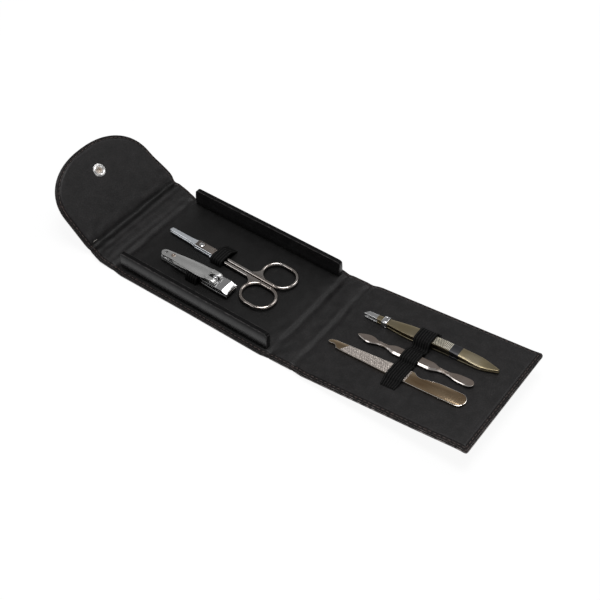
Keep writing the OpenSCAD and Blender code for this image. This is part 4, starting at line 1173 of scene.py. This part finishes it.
trunnion()
turned_piece("post", [(0, 0.35), (1.7, 0.35), (2.0, 0.45), (2.0, 0.8), (1.2, 1.0), (1.2, 7.2),
                      (1.15, 7.75), (0.9, 8.05), (0.45, 8.2), (0, 8.24)],
             CLIPPER_AT @ Matrix.Translation((POST_X, 0, 0)), nickel, "clipper_post",
             ["clipper_post"])
turned_piece("eyelet", [(1.1, 0.15), (1.95, 0.15), (2.03, 0.25), (1.95, 0.34), (1.5, 0.36), (1.5, 2.87),
                        (1.95, 2.9), (2.03, 3.0), (1.9, 3.12), (1.5, 3.16), (1.2, 3.08), (1.1, 2.9),
                        (1.1, 0.15)],
             CLIPPER_AT @ Matrix.Translation((4, 0, 0)), nickel, "clipper", ["clipper_eyelet"])
turned_piece("rivet", [(0, -1.85), (0.9, -1.83), (1.25, -1.68), (1.3, -1.5), (0.69, -1.45), (0.69, 0.55),
                       (1.3, 0.57), (1.34, 0.7), (1.1, 0.86), (0.8, 0.86), (0.62, 0.78), (0.5, 0.88),
                       (0, 0.92)],
             LEVER_AT @ Matrix.Translation((RIVET_X, 0, -lever_sag(RIVET_X))), rivet_steel,
             "clipper_lever", ["clipper_file_rivet"])


def swing_file():
    """The clipper's own file: a tapered leaf under the lever, turning on the rivet."""
    bm = bmesh.new()
    stations = ((-2.28, 0.4), (-2.1, 0.95), (-1.6, 1.64), (-0.9, 2.1), (0, 2.3), (4, 2.28), (9, 2.2),
                (14, 2.05), (19, 1.88), (20.5, 1.7), (22.5, 1.15), (24.5, 0.55), (25.8, 0.12))
    rows = []
    for x, w in stations:
        y = -2.2 * smooth((x + 1) / 6) * (1 - 0.6 * smooth((x - 12) / 12))
        rows.append(row(x, y, -lever_sag(RIVET_X + x), w, 0.4, 0.15))
    beam(bm, rows, arc=2)
    frame_at = LEVER_AT @ Matrix.Translation((RIVET_X, 0, -1.0))
    piece = finish_mesh(bm, "file_leaf", [satin_steel], "clipper_file",
                        ["clipper_file"], frame_at)
    crisp(bored(piece, [(0, 0, -3, 1, 0.75)], frame_at), 20)


swing_file()


# Tweezers
TWEEZERS_AT = cover_frame(11.4, 14.8)
RING_X, RING_HALF = 12.0, 1.7
TWEEZERS_LOW = curve_through([(0, 0.95), (9.96, 0.85), (17.9, 0.85), (34.0, 0.67), (47.0, 0.65),
                              (59.8, 0.65), (71.4, 0.9), (83.0, 1.2)], 6)
TWEEZERS_HIGH = curve_through([(0, 3.45), (9.96, 3.4), (17.9, 3.45), (34.0, 4.05), (48.1, 4.48),
                               (59.8, 3.9), (73.9, 2.3), (78.9, 2.22), (83.0, 2.3)], 6)


def arm_half(x):
    """Half width of an arm: narrow at the tips, widest before the band, drawn to a point at the tail."""
    if x < 30:
        return 1.3 + 0.5 * x / 14 + 1.23 * smooth((x - 9) / 21)
    if x < 52:
        return 3.6 - 0.65 * smooth((x - 34) / 14)
    if x < 71:
        return 2.95 + 0.6 * (x - 52) / 19
    return 0.5 + 3.05 * max(0.0, 1 - ((x - 71) / 12.2) ** 1.5)


def tweezers_arm(name, path, body, replaces, crown):
    """An arm: bright slanted tip, satin olive length, a brushed band past the grip."""
    xs = [0, 0.3, 1.2, 2.4, 4.0, 6.0, 7.6, 8.4, 8.8, 11.0] + [14 + 2.0 * k for k in range(22)]
    xs += [44.2, 54.8, 58.8, 60.3, 61.5, 63.2, 65, 67, 69, 71, 73, 75, 77, 78.5, 80, 81.2, 82.2, 82.8, 83]
    xs.sort()
    rows = [row(x, 0, read_at(path, x), max(0.35, arm_half(x)), 0.5 if x > 0.1 else 0.3, 0.26,
                crown=crown * smooth(x / 12) * (1 - 0.6 * smooth((x - 60) / 12))) for x in xs]
    last = len(xs) - 1

    def paint(u, v):
        x = (xs[int(u * last)] + xs[min(last, int(u * last) + 1)]) / 2
        return 1 if x < 8.6 else 3 if 44.2 < x < 54.8 else 2 if 54.8 < x < 60.3 else 0

    bm = bmesh.new()
    beam(bm, rows, arc=3, paint=paint, spread=4,
         shift=lambda x, y: (y + 1.3) * 0.8 * (1 - smooth(x / 6)))
    steels = [tweezer_steel, tip_steel, grey_steel, grip_steel]
    finish_mesh(bm, name, steels, body, replaces, TWEEZERS_AT, 34)


tweezers_arm("lower_arm", TWEEZERS_LOW, "tweezers", ["tweezers_lower_arm"], 0.0)
tweezers_arm("upper_arm", TWEEZERS_HIGH, "tweezers_upper_arm", ["tweezers_upper_arm"], 0.25)


def grip_top(x, y):
    return read_at(TWEEZERS_HIGH, x) + 0.5 - 0.25 * (y / 4.5) ** 2


def grip_knurl():
    """The upper arm's grip: rows of small points, then cross ribs."""
    bm = bmesh.new()
    for i in range(6):
        for j in range(8):
            x = 44.8 + 1.05 * i + (0.5 if j % 2 else 0.0)
            y = -2.35 + 0.67 * j
            made = bmesh.ops.create_cone(bm, segments=4, radius1=0.42, radius2=0.18, depth=0.2,
                                         cap_ends=True)
            bmesh.ops.translate(bm, vec=(x, y, grip_top(x, y) + 0.06), verts=made["verts"])
    for i in range(5):
        x = 51.2 + 0.85 * i
        for a, b in ((-2.6, -1.05), (-0.8, 0.8), (1.05, 2.6)):
            ys = [a + (b - a) * k / 3 for k in range(4)]
            beam(bm, [row(x, y, grip_top(x, y), 0.24, 0.12, 0.1, side=X_AXIS) for y in ys], arc=1)
    finish_mesh(bm, "grip_knurl", [knurl_steel], "tweezers_upper_arm", (),
                TWEEZERS_AT, 35)


grip_knurl()


def tweezers_ring():
    """The sliding ring: a bent strip with a round lump at each upper corner."""
    low = read_at(TWEEZERS_LOW, RING_X + RING_HALF) - 0.5 - 0.12
    high = read_at(TWEEZERS_HIGH, RING_X + RING_HALF) + 0.5 + 0.12
    half = arm_half(RING_X + RING_HALF) + 0.2
    mid, rise, t = (low + high) / 2, (high - low) / 2, 0.225
    path = []
    for quarter in range(4):
        for k in range(5):
            a = math.radians(90 * quarter + 22.5 * k)
            cy = (half - 0.5) * (1 if quarter in (0, 3) else -1)
            cz = (rise - 0.5) * (1 if quarter in (0, 1) else -1)
            path.append((cy + (0.5 + t) * math.cos(a), cz + (0.5 + t) * math.sin(a), a))
    bm = bmesh.new()
    rows = len(path)
    section = rounded(RING_HALF, t, 0.2, 0, 2)

    def place(u, v):
        y, z, a = path[nth(u, rows) % rows]
        x, out = section[nth(v, len(section)) % len(section)]
        if out > 0:
            out += 0.1 * (1 - (x / RING_HALF) ** 2)
        return Vector((RING_X + RING_HALF + x, y + math.cos(a) * out, mid + z + math.sin(a) * out))

    swept(bm, 12, rows, place, lambda u, v: (u * 12, v * 6), caps=False)
    for x, y, z in ((1.0, half - 0.6, high), (1.8, 0.5 - half, high), (2.4, -half, low + 0.5)):
        made = bmesh.ops.create_uvsphere(bm, u_segments=16, v_segments=8, radius=0.85)
        bmesh.ops.scale(bm, vec=(1.25, 0.75, 0.7), verts=made["verts"])
        bmesh.ops.translate(bm, vec=(RING_X + x, y, z), verts=made["verts"])
    finish_mesh(bm, "arm_ring", [nickel], "tweezers_ring", ["tweezers_ring"], TWEEZERS_AT, 50)


tweezers_ring()


# Cuticle pusher
PUSHER_AT = cover_frame(16.4, 0.2)
PUSHER = ((0.02, 0.12, 0.12, 1), (0.5, 0.5, 0.2, 1), (1.6, 1.05, 0.32, 1), (3.5, 1.8, 0.45, 1),
          (5.6, 2.45, 0.52, 1), (7.4, 2.7, 0.55, 1), (9.0, 2.62, 0.55, 1), (10.6, 2.2, 0.58, 1),
          (12.2, 1.6, 0.7, 0.6), (13.8, 1.25, 0.85, 0.2), (15.5, 1.1, 0.98, 0), (17.5, 1.1, 1.05, 0),
          (19.3, 1.35, 1.08, 0.2), (20.8, 1.9, 1.12, 0.7), (22.3, 2.55, 1.16, 1), (23.8, 2.92, 1.2, 1),
          (25.2, 3.0, 1.2, 1), (36.0, 3.0, 1.2, 1), (45.4, 3.0, 1.2, 1), (46.8, 2.92, 1.2, 1),
          (48.3, 2.5, 1.16, 1), (49.8, 1.85, 1.1, 0.7), (51.4, 1.3, 1.05, 0.2), (53.4, 1.08, 1.02, 0),
          (55.4, 1.1, 0.92, 0), (57.2, 1.35, 0.78, 0.4), (59.0, 1.85, 0.62, 1), (61.0, 2.35, 0.54, 1),
          (63.4, 2.64, 0.5, 1), (66.6, 2.7, 0.5, 1), (68.6, 2.68, 0.5, 1), (69.8, 2.4, 0.48, 1),
          (70.7, 1.85, 0.44, 1), (71.3, 1.1, 0.36, 1), (71.58, 0.4, 0.2, 1))


def cuticle_pusher():
    """Double-ended pusher: spear, round necks, flat bevelled handle and rounded spade."""
    bm = bmesh.new()
    rows = []
    for x, w, h, flat in PUSHER:
        corner = min(w, h) * (0.99 - 0.25 * flat)
        rows.append(row(x, 0, 1.35, w, h, corner, flat))
    beam(bm, rows, arc=2)
    bm.normal_update()
    # Painted highlight: steep side and bevel faces take the lighter rim steel.
    for face in bm.faces:
        if abs(face.normal.z) < 0.75:
            face.material_index = 1
    finish_mesh(bm, "pusher_bar", [pusher_steel, pusher_rim_highlight], "cuticle_pusher",
                ["cuticle_pusher"], PUSHER_AT, 20)


cuticle_pusher()


# Nail file
FILE_AT = cover_frame(5.7, -12.3)
FILE_LOW, FILE_HIGH, FILE_HALF, FILE_L = 0.15, 1.45, 4.5, 85.0
FILE_SIDE = ((9.0, 2.7), (20.0, 3.12), (30.0, 3.52), (40.0, 3.9), (50.0, 4.25))
CUT_START, CUT_SLANT, CUT_END = 9.0, 3.0, 50.2


def arc_points(x, y, r, start, stop, steps):
    """Points on a circle from one angle to another, in degrees."""
    turns = [math.radians(start + (stop - start) * k / steps) for k in range(steps + 1)]
    return [(x + r * math.cos(a), y + r * math.sin(a)) for a in turns]


def file_outline():
    """The file's outline: beaked tip with a cut-out, straight blade, thumb notch and round end."""
    tip = [(0.0, 0.35), (0.4, 1.1), (1.4, 1.85), (3.2, 2.35), (5.6, 2.55)]
    notch = [(51.4, 4.3), (52.4, 4.15), (53.2, 3.65), (54.2, 2.95), (55.6, 2.45), (57.4, 2.35),
             (59.2, 2.75), (60.6, 3.2), (61.8, 3.35), (63.2, 3.5), (65.0, 3.95), (67.5, 4.35),
             (71.0, FILE_HALF)]
    end = arc_points(FILE_L - FILE_HALF, 0, FILE_HALF, 88, -88, 22)
    near = [(60.0, -4.45)] + [(x, -y) for x, y in reversed(FILE_SIDE)] + [(7.5, -2.5), (6.8, -2.3)]
    beak = arc_points(3.5, -3.3, 2.9, 15, 115, 9) + [(1.0, -0.55), (0.2, -0.35)]
    return tip + list(FILE_SIDE) + notch + end + near + beak


def nail_file():
    bm = bmesh.new()
    plate(bm, file_outline(), FILE_LOW, FILE_HIGH, 0.22)
    bm.normal_update()
    # Painted highlight: the side and bevel faces take the lighter rim steel.
    for face in bm.faces:
        if 0.2 < abs(face.normal.z) < 0.97:
            face.material_index = 1
    finish_mesh(bm, "file_plate", [file_steel, rim_highlight_steel], "nail_file", ["nail_file"],
                FILE_AT, 28)


def file_cut():
    """The cut faces: thin rough fields on both sides, toothed where the handle starts."""
    bm = bmesh.new()
    rim, count = 0.3, 9
    half = read_at(FILE_SIDE, CUT_END) - rim
    pitch = 2 * half / count
    teeth = []
    for k in range(count):
        y = half - pitch * (k + 0.5)
        teeth += [(CUT_END + 1.1, y), (CUT_END, y - pitch / 2)]
    sides = [(x, y - rim) for x, y in FILE_SIDE[1:-1]]
    start = CUT_START + CUT_SLANT
    outline = [(start, read_at(FILE_SIDE, start) - rim)] + sides + [(CUT_END, half)] + teeth
    outline += [(x, -y) for x, y in reversed(sides)] + [(CUT_START, rim - FILE_SIDE[0][1])]
    plate(bm, outline, FILE_HIGH - 0.05, FILE_HIGH + 0.06, 0)
    plate(bm, outline, FILE_LOW - 0.02, FILE_LOW + 0.05, 0)
    finish_mesh(bm, "cut_fields", [abrasive], "nail_file", (), FILE_AT, 28)


nail_file()
file_cut()


# Stitches
STITCH_L, STITCH_PITCH, STITCH_R = 2.0, 2.75, 0.24


def hem_line():
    """The seam's line round the whole case, inset from its edge, as closed points s, y."""
    length = COVER_END - STITCH_IN - FOLD_E + FAR_ROOT
    run = [COVER_END - STITCH_IN - length * k / 400 for k in range(401)]
    far = [(s, half_width(s - COVER_R, 1) - STITCH_IN) for s in run]
    near = [(s, STITCH_IN - half_width(s - COVER_R, -1)) for s in reversed(run)]
    flap = []
    for k in range(0, 181):
        a = math.radians(90 - k)
        reach = (FLAP_L - STITCH_IN - FLAP_STRAIGHT) * math.cos(a) ** (2 / FLAP_POWER)
        y = (FLAP_W / 2 - STITCH_IN) * math.copysign(abs(math.sin(a)) ** (2 / FLAP_POWER), a)
        flap.append((FOLD_E - FLAP_STRAIGHT - reach, y))
    return far + flap + near + [far[0]]


def stitches():
    """Thread laid stitch by stitch along the hem, on the lining and on the outer face."""
    line = hem_line()
    spots, run, since = [], 0.0, 0.0
    for a, b in zip(line, line[1:]):
        length = math.hypot(b[0] - a[0], b[1] - a[1])
        while length > 1e-6 and run + length - since >= STITCH_PITCH:
            since += STITCH_PITCH
            t = (since - run) / length
            spots.append((a[0] + (b[0] - a[0]) * t, a[1] + (b[1] - a[1]) * t,
                          math.atan2(b[1] - a[1], b[0] - a[0])))
        run += length
    for part, bodies, fold in LENGTHS:
        low, high = SPANS[part]
        bm = bmesh.new()
        for s, y, a in spots:
            if not low <= s < high:
                continue
            for outer in (False, True):
                stitch(bm, s, y, a, outer)
        piece = finish_mesh(bm, f"stitches_{part}", [thread])
        bend_with(piece, bodies, fold)


def stitch(bm, s, y, a, outer):
    """One stitch: a short plump bar of six sides sunk in its furrow."""
    rows = []
    for t, fat in ((-1, 0.25), (-0.6, 0.9), (0.6, 0.9), (1, 0.25)):
        ds, dy = math.cos(a) * t * STITCH_L / 2, math.sin(a) * t * STITCH_L / 2
        place_s, place_y = s + ds, y + dy
        if outer:
            h = skin_height(place_s, place_y, STITCH_IN, "bottom") + 0.1
        else:
            h = lining_top(place_s, place_y, STITCH_IN) + 0.06
        rows.append((place_s, place_y, h, fat * STITCH_R))
    last = len(rows) - 1

    def place(u, v):
        ps, py, h, r = rows[nth(u, last)]
        turn = math.tau * (nth(v, 6) % 6) / 6
        across = math.cos(turn) * r
        return fold_up(ps - math.sin(a) * across, py + math.cos(a) * across, h + math.sin(turn) * r)

    swept(bm, 6, last, place, lambda u, v: (u, v))


stitches()


# Boards stay hidden inside their skins
for node_name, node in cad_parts.items():
    if node_name.endswith("_board"):
        dress(node, board)


# Studio
FLOOR_HALF = 4.0


def floor_paint():
    """Matt white that takes the shadow, shown white to the camera and in reflections."""
    paint = bpy.data.materials.new("pale_floor")
    paint.use_nodes = True
    paint.node_tree.nodes.clear()
    n = Nodes(paint.node_tree)
    rays = n.add("LightPath", None)
    seen = n.sum(rays.outputs["Is Camera Ray"], rays.outputs["Is Glossy Ray"], "MAXIMUM")
    matt = n.add("BsdfDiffuse", "BSDF", Color=(0.92, 0.92, 0.92, 1))
    glow = n.add("Emission", "Emission", Color=(1, 1, 1, 1), Strength=1.06)
    blend = n.add("MixShader", "Shader", n.sum(seen, 0.86, "MULTIPLY"), matt, glow)
    n.add("OutputMaterial", None, Surface=blend)
    return paint


def floor():
    mesh = bpy.data.meshes.new("floor")
    bm = bmesh.new()
    bmesh.ops.create_grid(bm, x_segments=1, y_segments=1, size=FLOOR_HALF)
    bmesh.ops.translate(bm, vec=(0, 0, -0.1 * MM), verts=bm.verts)
    bm.to_mesh(mesh)
    bm.free()
    mesh.materials.append(floor_paint())
    piece = bpy.data.objects.new("floor", mesh)
    bpy.context.scene.collection.objects.link(piece)


def room():
    """White for the camera; the metal mirrors a soft room, lighter below than above."""
    world = bpy.data.worlds.new("studio")
    bpy.context.scene.world = world
    world.use_nodes = True
    world.node_tree.nodes.clear()
    n = Nodes(world.node_tree)
    ramp = n.add("ValToRGB", None, n.add("SeparateXYZ", "Z", n.add("TexCoord", "Generated")))
    while len(ramp.color_ramp.elements) < len(ROOM_LEVELS):
        ramp.color_ramp.elements.new(0.5)
    for element, (at, level) in zip(ramp.color_ramp.elements, ROOM_LEVELS):
        element.position = at
        element.color = (level, level, level, 1)
    walls = n.add("Background", "Background", Color=ramp.outputs["Color"])
    white = n.add("Background", "Background", Color=(1, 1, 1, 1))
    pick = n.add("MixShader", "Shader", n.add("LightPath", "Is Camera Ray"), walls, white)
    n.add("OutputWorld", None, Surface=pick)


ROOM_LEVELS = ((0.0, 0.80), (0.25, 0.42), (0.5, 0.24), (0.75, 0.20), (1.0, 0.30))
LAMPS = (
    ("overhead", (0.05, 0.05, 1.05), 0.45, 5.0),
    ("front_box", (-0.42, -0.76, 0.58), 0.34, 0.7),
    ("back_box", (0.25, 0.58, 0.84), 0.36, 1.3),
)


def studio():
    """A pale floor, a soft room and large light panels."""
    floor()
    room()
    for name, place, size, power in LAMPS:
        data = bpy.data.lights.new(name, "AREA")
        data.size = size
        data.energy = power
        lamp = bpy.data.objects.new(name, data)
        lamp.location = place
        aim = Vector((0.03, 0, 0)) - Vector(place)
        lamp.rotation_euler = aim.to_track_quat("-Z", "Y").to_euler()
        bpy.context.scene.collection.objects.link(lamp)


def photo_camera():
    """The photograph's viewing angle."""
    azimuth, elevation, roll = math.radians(36.2), math.radians(46.79), math.radians(-0.29)
    distance, target = 0.6558, Vector((0.04384, 0.00683, 0.0))
    back = Vector((math.sin(azimuth) * math.cos(elevation), -math.cos(azimuth) * math.cos(elevation),
                   math.sin(elevation)))
    data = bpy.data.cameras.new("camera")
    data.sensor_width = 36.0
    data.sensor_fit = "HORIZONTAL"
    data.lens = 1166.36 / 600 * 36.0
    data.clip_start = 0.01
    data.clip_end = 20
    camera = bpy.data.objects.new("camera", data)
    turn = (-back).to_track_quat("-Z", "Y").to_matrix().to_4x4()
    level = Matrix.Rotation(-roll, 4, "Z")
    camera.matrix_world = Matrix.Translation(target + back * distance) @ turn @ level
    bpy.context.scene.collection.objects.link(camera)
    bpy.context.scene.camera = camera


studio()
photo_camera()
bpy.context.scene.view_settings.view_transform = "Standard"
